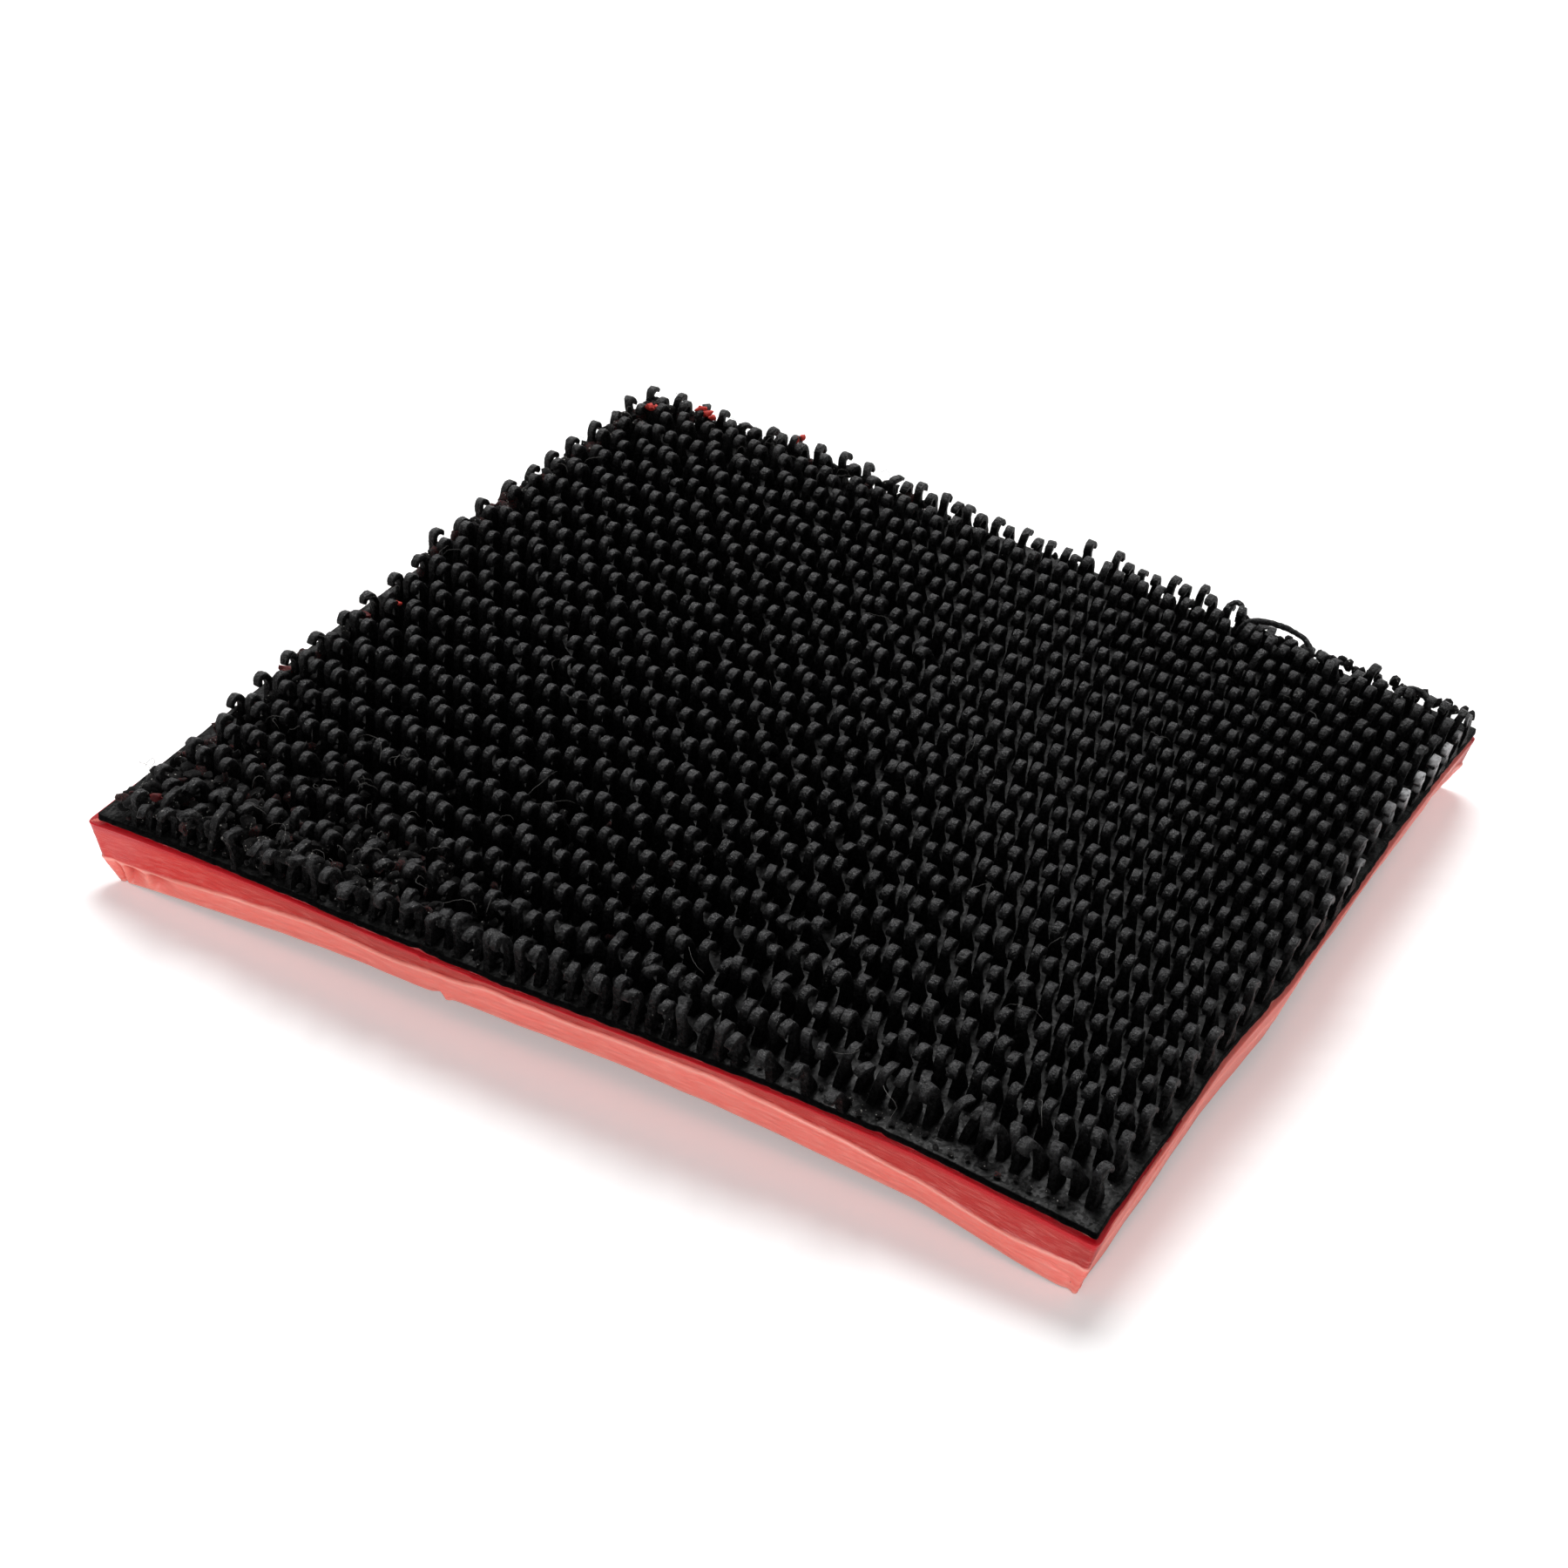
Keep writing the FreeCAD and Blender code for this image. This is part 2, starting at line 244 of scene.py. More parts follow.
FILM_OUTLINE = even_outline(0.0)


class Walk:
    """Samples round the film's outline, the same ones for every layer."""

    def __init__(self):
        spans = np.linalg.norm(np.roll(FILM_OUTLINE, -1, 0) - FILM_OUTLINE, axis=1)
        counts = [max(2, int(round(span / STEP))) for span in spans]
        self.piece = np.repeat(np.arange(len(spans)), counts)
        self.piece_share = np.concatenate([np.arange(count) / count for count in counts])
        start = np.r_[0, np.cumsum(spans)]
        self.dist = start[self.piece] + self.piece_share * spans[self.piece]
        pieces = [len(side_points(side)) - 1 for side in EDGES]
        self.side = np.repeat(np.arange(4), pieces)[self.piece]
        corner = start[np.r_[0, np.cumsum(pieces)]]
        self.share = (self.dist - corner[self.side]) / np.diff(corner)[self.side]
        self.out = self.smooth(np.array([outward(side) for side in EDGES])[self.side], 0.25)
        self.out /= np.linalg.norm(self.out, axis=1)[:, None]
        self.count = len(self.piece)

    def smooth(self, values, sigma_mm):
        return ring_filter(values, sigma_mm / STEP)

    def along(self, poly, sigma_mm):
        """The samples on another outline, its corners rounded."""
        share = self.piece_share[:, None]
        ends = np.roll(poly, -1, 0)
        return self.smooth(poly[self.piece] * (1 - share) + ends[self.piece] * share, sigma_mm)


walk = Walk()


# ---- Meshes ----

def make_mesh(name, verts_mm, faces, values, material, sharp_deg=None):
    """A smooth mesh object from plan vertices, with per-vertex values for its material."""
    mesh = bpy.data.meshes.new(name)
    places = (np.asarray(verts_mm, float) @ TO_ROW[:, :3].T + TO_ROW[:, 3]) * MM
    mesh.vertices.add(len(places))
    mesh.vertices.foreach_set("co", places.astype(np.float32).ravel())
    sizes = np.array([len(face) for face in faces], np.int32)
    mesh.loops.add(int(sizes.sum()))
    corners = np.concatenate([np.asarray(face, np.int32) for face in faces])
    mesh.loops.foreach_set("vertex_index", corners)
    mesh.polygons.add(len(sizes))
    starts = np.r_[0, np.cumsum(sizes)[:-1]].astype(np.int32)
    mesh.polygons.foreach_set("loop_start", starts)
    mesh.polygons.foreach_set("use_smooth", np.ones(len(sizes), bool))
    mesh.update(calc_edges=True)
    mesh.validate()
    for key, column in values.items():
        attribute = mesh.attributes.new(key, "FLOAT", "POINT")
        attribute.data.foreach_set("value", np.asarray(column, np.float32))
    if sharp_deg is not None:
        mesh.set_sharp_from_angle(angle=math.radians(sharp_deg))
    mesh.materials.append(material)
    obj = bpy.data.objects.new(name, mesh)
    bpy.context.scene.collection.objects.link(obj)
    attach(obj, "root")
    return obj


def cap_points(boundary, spacing, seed):
    """Jittered triangular grid inside a boundary."""
    low, high = boundary.min(0), boundary.max(0)
    x, y = np.meshgrid(np.arange(low[0], high[0], spacing),
                       np.arange(low[1], high[1], spacing * 0.866))
    x = x + (np.arange(x.shape[0]) % 2)[:, None] * spacing / 2
    rng = np.random.default_rng(seed)
    jitter = 0.25
    x = (x + rng.uniform(-jitter, jitter, x.shape) * spacing).ravel()
    y = (y + rng.uniform(-jitter, jitter, y.shape) * spacing).ravel()
    keep = is_inside(x, y, boundary)
    x, y = x[keep], y[keep]
    keep = edge_distance(x, y, boundary[::2]) > spacing * 0.55
    return np.c_[x, y][keep]


def cap_faces(points, boundary_count):
    edges = [(i, (i + 1) % boundary_count) for i in range(boundary_count)]
    coords = [Vector((float(x), float(y))) for x, y in points]
    _, _, faces, origins, _, _ = delaunay_2d_cdt(coords, edges, [], 1, 1e-6)
    original = {i: origin[0] for i, origin in enumerate(origins) if origin}
    return [[original[i] for i in face] for face in faces if all(i in original for i in face)]


def on_sheet(xy, depth):
    return np.c_[xy, drop(xy[:, 0], xy[:, 1], depth)]


def slab(name, rings, caps, values, material, sharp_deg, seed, cap_values={}):
    """A closed body: rings, top first, joined by walls, its ends capped by triangulated sheets.

    caps: (spacing, depth, relief function or None) of the top and of the bottom sheet.
    values: per attribute, one value or row of values for each ring.
    cap_values: (top, bottom) value of an attribute inside the sheets, 0 where not given.
    """
    count = walk.count
    here = np.arange(count)
    ahead = (here + 1) % count
    faces = []
    for r in range(len(rings) - 1):
        a, b = r * count + here, r * count + ahead
        faces += list(np.c_[a, a + count, b + count, b])
    verts = list(rings)
    columns = {key: [np.broadcast_to(row, count) for row in rows]
               for key, rows in values.items()}
    base = len(rings) * count
    for bottom, (spacing, depth, relief) in enumerate(caps):
        boundary = rings[-bottom][:, :2]
        inner = cap_points(boundary, spacing, seed + bottom)
        sheet = on_sheet(inner, depth)
        if relief:
            sheet[:, 2] += relief(inner[:, 0], inner[:, 1], boundary)
        first = (len(rings) - 1) * count * bottom
        points = np.vstack([boundary, inner])
        for corners in cap_faces(points, count):
            face = [first + i if i < count else base + i - count for i in corners]
            a, b, c = points[corners[:3]]
            ccw = (b[0] - a[0]) * (c[1] - a[1]) - (b[1] - a[1]) * (c[0] - a[0]) > 0
            if ccw == bool(bottom):
                face.reverse()
            faces.append(face)
        verts.append(sheet)
        base += len(inner)
        for key, rows in columns.items():
            rows.append(np.full(len(inner), cap_values.get(key, (0.0, 0.0))[bottom]))
    columns = {key: np.concatenate(rows) for key, rows in columns.items()}
    return make_mesh(name, np.vstack(verts), faces, columns, material, sharp_deg)


def lump(centre, size, rng, rough=0.30):
    """One lumpy blob: a subdivided icosahedron pushed about by noise."""
    blob = bmesh.new()
    bmesh.ops.create_icosphere(blob, subdivisions=2, radius=1.0)
    ball = np.array([vert.co[:] for vert in blob.verts])
    faces = [[vert.index for vert in face.verts] for face in blob.faces]
    blob.free()
    x, y, z = ball.T
    phase = rng.uniform(0, 40, 3)
    swell = 1 + rough * noise2(x * 1.6 + phase[0], y * 1.6 + z * 1.3 + phase[1], 91)
    swell = swell + 0.5 * rough * noise2(x * 4 + z * 3 + phase[2], y * 4 - z * 2, 92)
    turn = rng.uniform(0, math.pi)
    ball = ball * swell[:, None] * np.asarray(size)
    ball = ball + rng.normal(0, 0.06, ball.shape) * min(size)
    x, y, z = ball.T
    x, y = (x * math.cos(turn) - y * math.sin(turn), x * math.sin(turn) + y * math.cos(turn))
    return np.c_[x + centre[0], y + centre[1], z + centre[2]], faces


def tube(path, radius, sides, up):
    """A round strand along a path, closed at both ends."""
    tangent = np.gradient(path, axis=0)
    tangent /= np.linalg.norm(tangent, axis=1)[:, None]
    u = np.cross(tangent, up)
    u /= np.linalg.norm(u, axis=1)[:, None]
    v = np.cross(tangent, u)
    angle = (np.arange(sides) / sides * 2 * math.pi)[None, :, None]
    around = np.cos(angle) * u[:, None] + np.sin(angle) * v[:, None]
    rings = path[:, None] + np.asarray(radius)[:, None, None] * around
    last = (len(path) - 1) * sides
    start_tip, end_tip = len(path) * sides, len(path) * sides + 1
    turn = [(j, (j + 1) % sides) for j in range(sides)]
    faces = [[i + j, i + k, i + sides + k, i + sides + j]
             for i in range(0, last, sides) for j, k in turn]
    faces += [[k, j, start_tip] for j, k in turn]
    faces += [[last + j, last + k, end_tip] for j, k in turn]
    return np.vstack([rings.reshape(-1, 3), path[0], path[-1]]), faces


def join_parts(name, parts, material, keys=(), sharp_deg=50):
    """One object from ((vertices, faces), value, value...) parts, the values named by keys."""
    verts, faces, base = [], [], 0
    columns = {key: [] for key in keys}
    for (part_verts, part_faces), *values in parts:
        verts.append(part_verts)
        faces += [[base + i for i in face] for face in part_faces]
        base += len(part_verts)
        for key, value in zip(keys, values):
            columns[key].append(np.full(len(part_verts), value))
    columns = {key: np.concatenate(column) for key, column in columns.items()}
    return make_mesh(name, np.vstack(verts), faces, columns, material, sharp_deg)


def stand_in(piece):
    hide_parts(piece)


# ---- Materials ----

def srgb(*rgb):
    """Linear colour from 0-255 sRGB."""
    parts = [c / 255 for c in rgb]
    return tuple(c / 12.92 if c <= 0.04045 else ((c + 0.055) / 1.055) ** 2.4
                 for c in parts) + (1.0,)


class Nodes:
    """One material's node tree; its textures are laid out in millimetres."""

    INPUTS = {
        "color": "Base Color", "rough": "Roughness", "spec": "Specular IOR Level",
        "normal": "Normal", "sss": "Subsurface Weight", "radius": "Subsurface Radius",
        "sss_scale": "Subsurface Scale", "sheen": "Sheen Weight",
        "sheen_rough": "Sheen Roughness"}

    def __init__(self, name, textured=True):
        self.material = bpy.data.materials.new(name)
        self.material.use_nodes = True
        self.tree = self.material.node_tree
        self.tree.nodes.clear()
        self.output = self.new("OutputMaterial")
        self.shader = self.new("BsdfPrincipled")
        self.put(self.output.inputs["Surface"], self.shader.outputs[0])
        if textured:
            coords = self.new("TexCoord")
            mapping = self.new("Mapping")
            mapping.inputs["Scale"].default_value = (1000, 1000, 1000)
            self.put(mapping.inputs["Vector"], coords.outputs["Object"])
            self.mm = mapping.outputs[0]

    def new(self, kind):
        return self.tree.nodes.new("ShaderNode" + kind)

    def put(self, socket, value):
        if isinstance(value, bpy.types.NodeSocket):
            self.tree.links.new(value, socket)
        else:
            socket.default_value = value

    def attr(self, name):
        node = self.new("Attribute")
        node.attribute_name = name
        return node.outputs["Fac"]

    def vector(self, x, y):
        node = self.new("CombineXYZ")
        for socket, value in zip(node.inputs, (x, y, 0.0)):
            self.put(socket, value)
        return node.outputs[0]

    def noise(self, scale, detail, rough, at=None):
        node = self.new("TexNoise")
        self.put(node.inputs["Vector"], at or self.mm)
        node.inputs["Scale"].default_value = scale
        node.inputs["Detail"].default_value = detail
        node.inputs["Roughness"].default_value = rough
        node.inputs["Lacunarity"].default_value = 2.0
        return node.outputs["Fac"]

    def voronoi(self, scale, output):
        node = self.new("TexVoronoi")
        node.feature = "F1"
        self.put(node.inputs["Vector"], self.mm)
        node.inputs["Scale"].default_value = scale
        return node.outputs[output]

    def cells(self, scale):
        return self.voronoi(scale, "Color")

    def specks(self, scale, reach):
        """1 within reach of scattered points."""
        return self.math("LESS_THAN", self.voronoi(scale, "Distance"), reach)

    def math(self, operation, a, b, clamp=False):
        node = self.new("Math")
        node.operation = operation
        node.use_clamp = clamp
        self.put(node.inputs[0], a)
        self.put(node.inputs[1], b)
        return node.outputs[0]

    def mul(self, a, b, clamp=False):
        return self.math("MULTIPLY", a, b, clamp)

    def add(self, a, b, clamp=False):
        return self.math("ADD", a, b, clamp)

    def ramp(self, x, span, to=(0.0, 1.0)):
        """x over the span mapped to the values in to, held outside, eased."""
        node = self.new("MapRange")
        node.interpolation_type = "SMOOTHSTEP"
        self.put(node.inputs["Value"], x)
        node.inputs["From Min"].default_value = span[0]
        node.inputs["From Max"].default_value = span[1]
        node.inputs["To Min"].default_value = to[0]
        node.inputs["To Max"].default_value = to[1]
        return node.outputs[0]

    def band(self, x, rise, fall):
        return self.mul(self.ramp(x, span=rise), self.ramp(x, span=fall, to=(1, 0)))

    def mix(self, factor, a, b):
        node = self.new("Mix")
        node.data_type = "RGBA"
        self.put(node.inputs["Factor"], factor)
        self.put(node.inputs[6], a)
        self.put(node.inputs[7], b)
        return node.outputs[2]

    def cover(self, base, color, mask, amount=None):
        """Colour laid over base where the mask is, by the given amount."""
        return self.mix(mask if amount is None else self.mul(mask, amount), base, color)

    def scale_color(self, color, factor):
        node = self.new("VectorMath")
        node.operation = "SCALE"
        self.put(node.inputs[0], color)
        self.put(node.inputs["Scale"], factor)
        return node.outputs[0]

    def bump(self, height, dist, strength, normal=None):
        node = self.new("Bump")
        self.put(node.inputs["Height"], height)
        node.inputs["Distance"].default_value = dist
        self.put(node.inputs["Strength"], strength)
        if normal is not None:
            self.put(node.inputs["Normal"], normal)
        return node.outputs[0]

    def finish(self, **inputs):
        for key, value in inputs.items():
            self.put(self.shader.inputs[self.INPUTS[key]], value)
        return self.material


def hook_material():
    mat = Nodes("hook_plastic")
    haze, crown, pale, up = (mat.attr(key) for key in ("haze", "crown", "pale", "up"))
    cloud = mat.noise(scale=0.55, detail=4, rough=0.6)
    fine = mat.noise(scale=26.0, detail=3, rough=0.65)
    grain = mat.noise(scale=9.0, detail=4, rough=0.6)
    cell = mat.cells(scale=12.5)
    base = mat.mix(mat.attr("rnd"), srgb(5, 5, 6), srgb(12, 12, 13))
    base = mat.cover(base, srgb(60, 60, 64), mat.ramp(cell, span=(0.45, 0.95), to=(0, 0.18)))
    gritty = mat.noise(scale=14.0, detail=2, rough=0.8)
    base = mat.cover(base, srgb(72, 71, 72), mat.ramp(gritty, span=(0.52, 0.74), to=(0, 0.14)))
    # crowns: the top edge painted a little paler, a painted highlight, and made shinier where
    # rubbed
    rub_and_highlight = mat.mul(crown, mat.ramp(grain, span=(0.30, 0.62), to=(0.25, 1)), clamp=True)
    base = mat.cover(base, srgb(62, 62, 66), rub_and_highlight, amount=0.26)
    # dust: a patchy film in the hazy area and separate specks elsewhere
    patches = mat.ramp(mat.noise(scale=3.2, detail=5, rough=0.7), span=(0.36, 0.70))
    dusty = mat.mul(haze, patches, clamp=True)
    base = mat.cover(base, srgb(78, 76, 75), dusty, amount=0.44)
    spread = mat.ramp(mat.noise(scale=0.33, detail=2, rough=0.5), span=(0.42, 0.72), to=(0, 0.10))
    clog_reach = 0.10
    reach = mat.add(spread, mat.mul(mat.attr("clog"), clog_reach))
    speck = mat.specks(scale=3.4, reach=reach)
    base = mat.cover(base, srgb(160, 158, 154), speck, amount=0.70)
    # painted shade: stems painted blacker than the crowns, for the shade low down between the
    # hooks
    base = mat.scale_color(base, mat.ramp(up, span=(0.25, 0.92), to=(0.38, 1)))
    # stems cut open by the knife along the right edge: pale cut plastic painted near white,
    # brightened by a painted highlight; whole hooks near that edge get painted highlights too
    torn = mat.ramp(mat.noise(scale=5.0, detail=4, rough=0.7), span=(0.30, 0.50))
    base = mat.cover(base, srgb(236, 236, 238), mat.mul(pale, torn, clamp=True))
    # dust and specks dull the plastic, rubbing polishes it
    dust_rough, speck_rough, rub_rough, rub_spec = 0.32, 0.3, 0.14, 0.60
    rough = mat.ramp(cloud, span=(0.3, 0.7), to=(0.31, 0.46))
    rough = mat.add(rough, mat.mul(dusty, dust_rough), clamp=True)
    rough = mat.add(rough, mat.mul(speck, speck_rough), clamp=True)
    spec = mat.ramp(cell, span=(0.15, 0.9), to=(0.08, 0.34))
    spec = mat.add(spec, mat.mul(rub_and_highlight, rub_spec), clamp=True)
    # painted shade: the reflection dimmed low on the stems as well
    spec = mat.mul(spec, mat.ramp(up, span=(0.25, 0.92), to=(0.30, 1)))
    rough = mat.math("SUBTRACT", rough, mat.mul(rub_and_highlight, rub_rough), clamp=True)
    normal = mat.bump(grain, dist=0.00016, strength=1.0)
    normal = mat.bump(fine, dist=0.00004, strength=0.9, normal=normal)
    normal = mat.bump(speck, dist=0.00002, strength=0.6, normal=normal)
    return mat.finish(color=base, rough=rough, spec=spec, normal=normal)


def film_material():
    mat = Nodes("hook_film")
    rim, wall = mat.attr("rim"), mat.attr("wall")
    loud = mat.math("SUBTRACT", 1.0, mat.attr("quiet"))
    dust = mat.ramp(mat.noise(scale=3.6, detail=6, rough=0.75), span=(0.42, 0.68))
    dust = mat.mul(dust, loud, clamp=True)
    # less dust near the front right corner
    distance = mat.new("VectorMath")
    distance.operation = "DISTANCE"
    mat.put(distance.inputs[0], mat.mm)
    distance.inputs[1].default_value = (14.5, -14.0, 5.5)
    dust = mat.mul(dust, mat.ramp(distance.outputs["Value"], span=(3, 15), to=(0.10, 1)))
    cell = mat.cells(scale=10.0)
    reach = mat.ramp(mat.noise(scale=0.4, detail=2, rough=0.5), span=(0.35, 0.7), to=(0.03, 0.13))
    speck = mat.specks(scale=4.2, reach=reach)
    grime = mat.noise(scale=0.9, detail=4, rough=0.6)
    base = mat.mix(grime, srgb(7, 7, 8), srgb(16, 16, 16))
    base = mat.cover(base, srgb(72, 71, 71), dust,
                     amount=mat.ramp(cell, span=(0.2, 0.9), to=(0.20, 0.60)))
    base = mat.cover(base, srgb(140, 138, 134), speck, amount=0.5)
    # cut edge: black, with a thin paler line along its lower corner
    base = mat.cover(base, srgb(5, 5, 6), wall)
    rim_line_noise = mat.noise(scale=5.0, detail=4, rough=0.6)
    base = mat.cover(base, srgb(74, 80, 74), rim,
                     amount=mat.ramp(rim_line_noise, span=(0.3, 0.7), to=(0.15, 0.6)))
    added_rough = 0.25
    rough = mat.add(mat.ramp(grime, span=(0.3, 0.7), to=(0.36, 0.52)),
                    mat.mul(mat.add(dust, wall), added_rough), clamp=True)
    spec = mat.mul(mat.ramp(cell, span=(0.1, 0.9), to=(0.05, 0.22)),
                   mat.ramp(wall, span=(0, 1), to=(1, 0.16)))
    normal = mat.bump(mat.noise(scale=7.0, detail=4, rough=0.6), dist=0.00004, strength=0.6)
    normal = mat.bump(speck, dist=0.00003, strength=0.7, normal=normal)
    return mat.finish(color=base, rough=rough, spec=spec, normal=normal)


def rubber_material():
    mat = Nodes("red_rubber")
    # down: share of the height from the top; around: mm from the front left corner
    down, low, rim, around = (mat.attr(key) for key in ("vpos", "low", "rim", "spos"))
    # knife lines: noise stretched lengthwise
    streak_stretch, hair_stretch = (0.55, 7.0), (0.9, 34.0)
    streak, hair = (
        mat.noise(scale=scale, detail=detail, rough=rough,
                  at=mat.vector(mat.mul(around, stretch[0]), mat.mul(down, stretch[1])))
        for stretch, scale, detail, rough in ((streak_stretch, 2.2, 6, 0.62),
                                              (hair_stretch, 1.7, 4, 0.6)))
    cloud = mat.noise(scale=0.35, detail=4, rough=0.55)
    blotch = mat.noise(scale=1.7, detail=5, rough=0.6)
    # above the ridge: painted shade, the upper cut deeper red than the lower; brightest at the
    # left end of the front, deeper red further along
    upper = mat.mix(mat.ramp(around, span=(3, 12)),
                    mat.mix(cloud, srgb(198, 34, 31), srgb(208, 48, 43)),
                    mat.mix(cloud, srgb(156, 28, 25), srgb(174, 38, 34)))
    upper = mat.cover(upper, srgb(182, 42, 40), mat.band(around, rise=(24, 30), fall=(37, 38.5)))
    # below the ridge: paler pink, a painted reflection of the bright table on the lower cut
    lower = mat.mix(cloud, srgb(240, 112, 102), srgb(246, 136, 124))
    right_cut = mat.band(around, rise=(38.6, 39.6), fall=(71, 73))
    upper = mat.cover(upper, mat.mix(cloud, srgb(222, 108, 98), srgb(233, 130, 119)), right_cut)
    base = mat.mix(low, upper, lower)
    base = mat.cover(base, srgb(250, 162, 150), mat.ramp(streak, span=(0.42, 0.70), to=(0, 0.5)),
                     amount=mat.ramp(low, span=(0, 1), to=(0.35, 1)))
    base = mat.cover(base, srgb(196, 52, 48), mat.ramp(streak, span=(0.30, 0.44), to=(0.22, 0)))
    base = mat.cover(base, srgb(252, 186, 174), mat.ramp(hair, span=(0.52, 0.78), to=(0, 0.34)))
    base = mat.cover(base, srgb(200, 60, 56), mat.ramp(blotch, span=(0.55, 0.85), to=(0, 0.20)))
    # the lower part of the right-hand cut painted paler, a painted reflection of the bright table
    base = mat.cover(base, srgb(250, 176, 166), right_cut,
                     amount=mat.ramp(down, span=(0.34, 0.50), to=(0, 0.28)))
    # painted shade: the three scallops at the left end painted deeper red in their bowls;
    # flank_rise is where each reaches full
    flank_rise = 0.14
    for start, end in ((0.33, 0.78), (0.92, 1.98), (2.06, 3.55)):
        peak = start + flank_rise
        flank = mat.band(around, rise=(start, peak), fall=(peak, end))
        base = mat.cover(base, srgb(206, 66, 60), mat.mul(flank, low),
                         amount=mat.ramp(down, span=(0.72, 0.98), to=(0.75, 0)))
    # painted highlight: pale lines along the ridge, the scallop lips and the bottom edge
    base = mat.cover(base, srgb(252, 172, 158), rim, amount=0.80)
    # crimson under the film: partly the adhesive's tint, partly painted shade under the film's
    # edge
    base = mat.cover(base, srgb(188, 0, 22), mat.ramp(down, span=(0.035, 0.17), to=(0.96, 0)),
                     amount=mat.ramp(right_cut, span=(0, 1), to=(1, 0.10)))
    reach = mat.ramp(mat.noise(scale=0.6, detail=2, rough=0.5), span=(0.45, 0.75), to=(0, 0.055))
    base = mat.cover(base, srgb(70, 22, 18), mat.specks(scale=1.5, reach=reach), amount=0.75)
    reach = mat.ramp(mat.noise(scale=0.5, detail=2, rough=0.5), span=(0.5, 0.8), to=(0, 0.06))
    base = mat.cover(base, srgb(250, 214, 200), mat.specks(scale=2.3, reach=reach), amount=0.6)
    normal = mat.bump(streak, dist=0.00006, strength=0.55)
    normal = mat.bump(hair, dist=0.00003, strength=0.5, normal=normal)
    normal = mat.bump(mat.noise(scale=14.0, detail=4, rough=0.6), dist=0.00001, strength=0.5,
                      normal=normal)
    return mat.finish(color=base, rough=mat.ramp(streak, span=(0.3, 0.75), to=(0.30, 0.46)),
                      spec=0.5, normal=normal, sss=0.34, radius=(1.0, 0.30, 0.24),
                      sss_scale=0.0004)


def glue_material():
    mat = Nodes("adhesive")
    cloud = mat.noise(scale=2.0, detail=4, rough=0.6)
    base = mat.mix(cloud, srgb(120, 2, 12), srgb(168, 6, 22))
    # smeared and pale along the right-hand cut
    split = mat.new("SeparateXYZ")
    mat.put(split.inputs[0], mat.mm)
    base = mat.cover(base, mat.mix(cloud, srgb(150, 84, 72), srgb(196, 118, 104)),
                     mat.ramp(split.outputs[0], span=(18.0, 18.4), to=(0, 0.85)))
    return mat.finish(color=base, rough=mat.ramp(cloud, span=(0.3, 0.7), to=(0.2, 0.4)), spec=0.5,
                      normal=mat.bump(cloud, dist=0.00004, strength=0.5), sss=0.3,
                      radius=(1.0, 0.1, 0.1), sss_scale=0.0005)


def lint_material():
    mat = Nodes("lint")
    cloud = mat.noise(scale=1.5, detail=3, rough=0.6)
    base = mat.mix(cloud, srgb(70, 70, 72), srgb(150, 148, 144))
    return mat.finish(color=base, rough=0.8, spec=0.2)


def dust_material():
    mat = Nodes("packed_dust")
    cloud = mat.noise(scale=2.6, detail=5, rough=0.7)
    fine = mat.noise(scale=18.0, detail=3, rough=0.7)
    cell = mat.cells(scale=9.0)
    base = mat.mix(cloud, srgb(9, 9, 10), srgb(24, 23, 23))
    base = mat.cover(base, srgb(70, 67, 66), mat.ramp(cell, span=(0.55, 0.95), to=(0, 0.38)))
    base = mat.cover(base, srgb(96, 30, 30), mat.attr("red"),
                     amount=mat.ramp(fine, span=(0.45, 0.7)))
    reach = mat.ramp(cloud, span=(0.4, 0.7), to=(0.10, 0.24))
    base = mat.cover(base, srgb(170, 168, 162), mat.specks(scale=6.0, reach=reach))
    normal = mat.bump(mat.noise(scale=11.0, detail=4, rough=0.7), dist=0.00008, strength=0.9)
    return mat.finish(color=base, rough=0.9, spec=0.12, normal=normal, sheen=0.08,
                      sheen_rough=0.6)


def crumb_material():
    mat = Nodes("rubber_crumbs")
    cloud = mat.noise(scale=3.0, detail=4, rough=0.6)
    fine = mat.noise(scale=14.0, detail=3, rough=0.6)
    base = mat.mix(mat.attr("dark"),
                   mat.mix(cloud, srgb(206, 44, 40), srgb(232, 92, 80)),
                   mat.mix(cloud, srgb(58, 12, 14), srgb(110, 20, 22)))
    base = mat.cover(base, srgb(40, 26, 24), mat.ramp(fine, span=(0.55, 0.75), to=(0, 0.35)))
    return mat.finish(color=base, rough=0.62, spec=0.3,
                      normal=mat.bump(fine, dist=0.00004, strength=0.8), sss=0.25,
                      radius=(1.0, 0.3, 0.2), sss_scale=0.0003)


# ---- Film ----

FILM_RINGS = [  # (outward offset, depth below the film's top, share of the paler rim line)
    (-0.045, 0.0, 0.10), (-0.012, 0.012, 0.05), (0.0, 0.05, 0.0), (0.006, 0.12, 0.0),
    (0.004, 0.195, 0.0), (-0.004, 0.226, 1.0), (-0.06, FILM_T, 0.6)]
FILM_NICKS = [  # (mm round the outline, width, depth)
    (14.6, 0.22, 0.10), (31.2, 0.15, 0.06), (51.0, 0.25, 0.08), (62.4, 0.18, 0.07)]


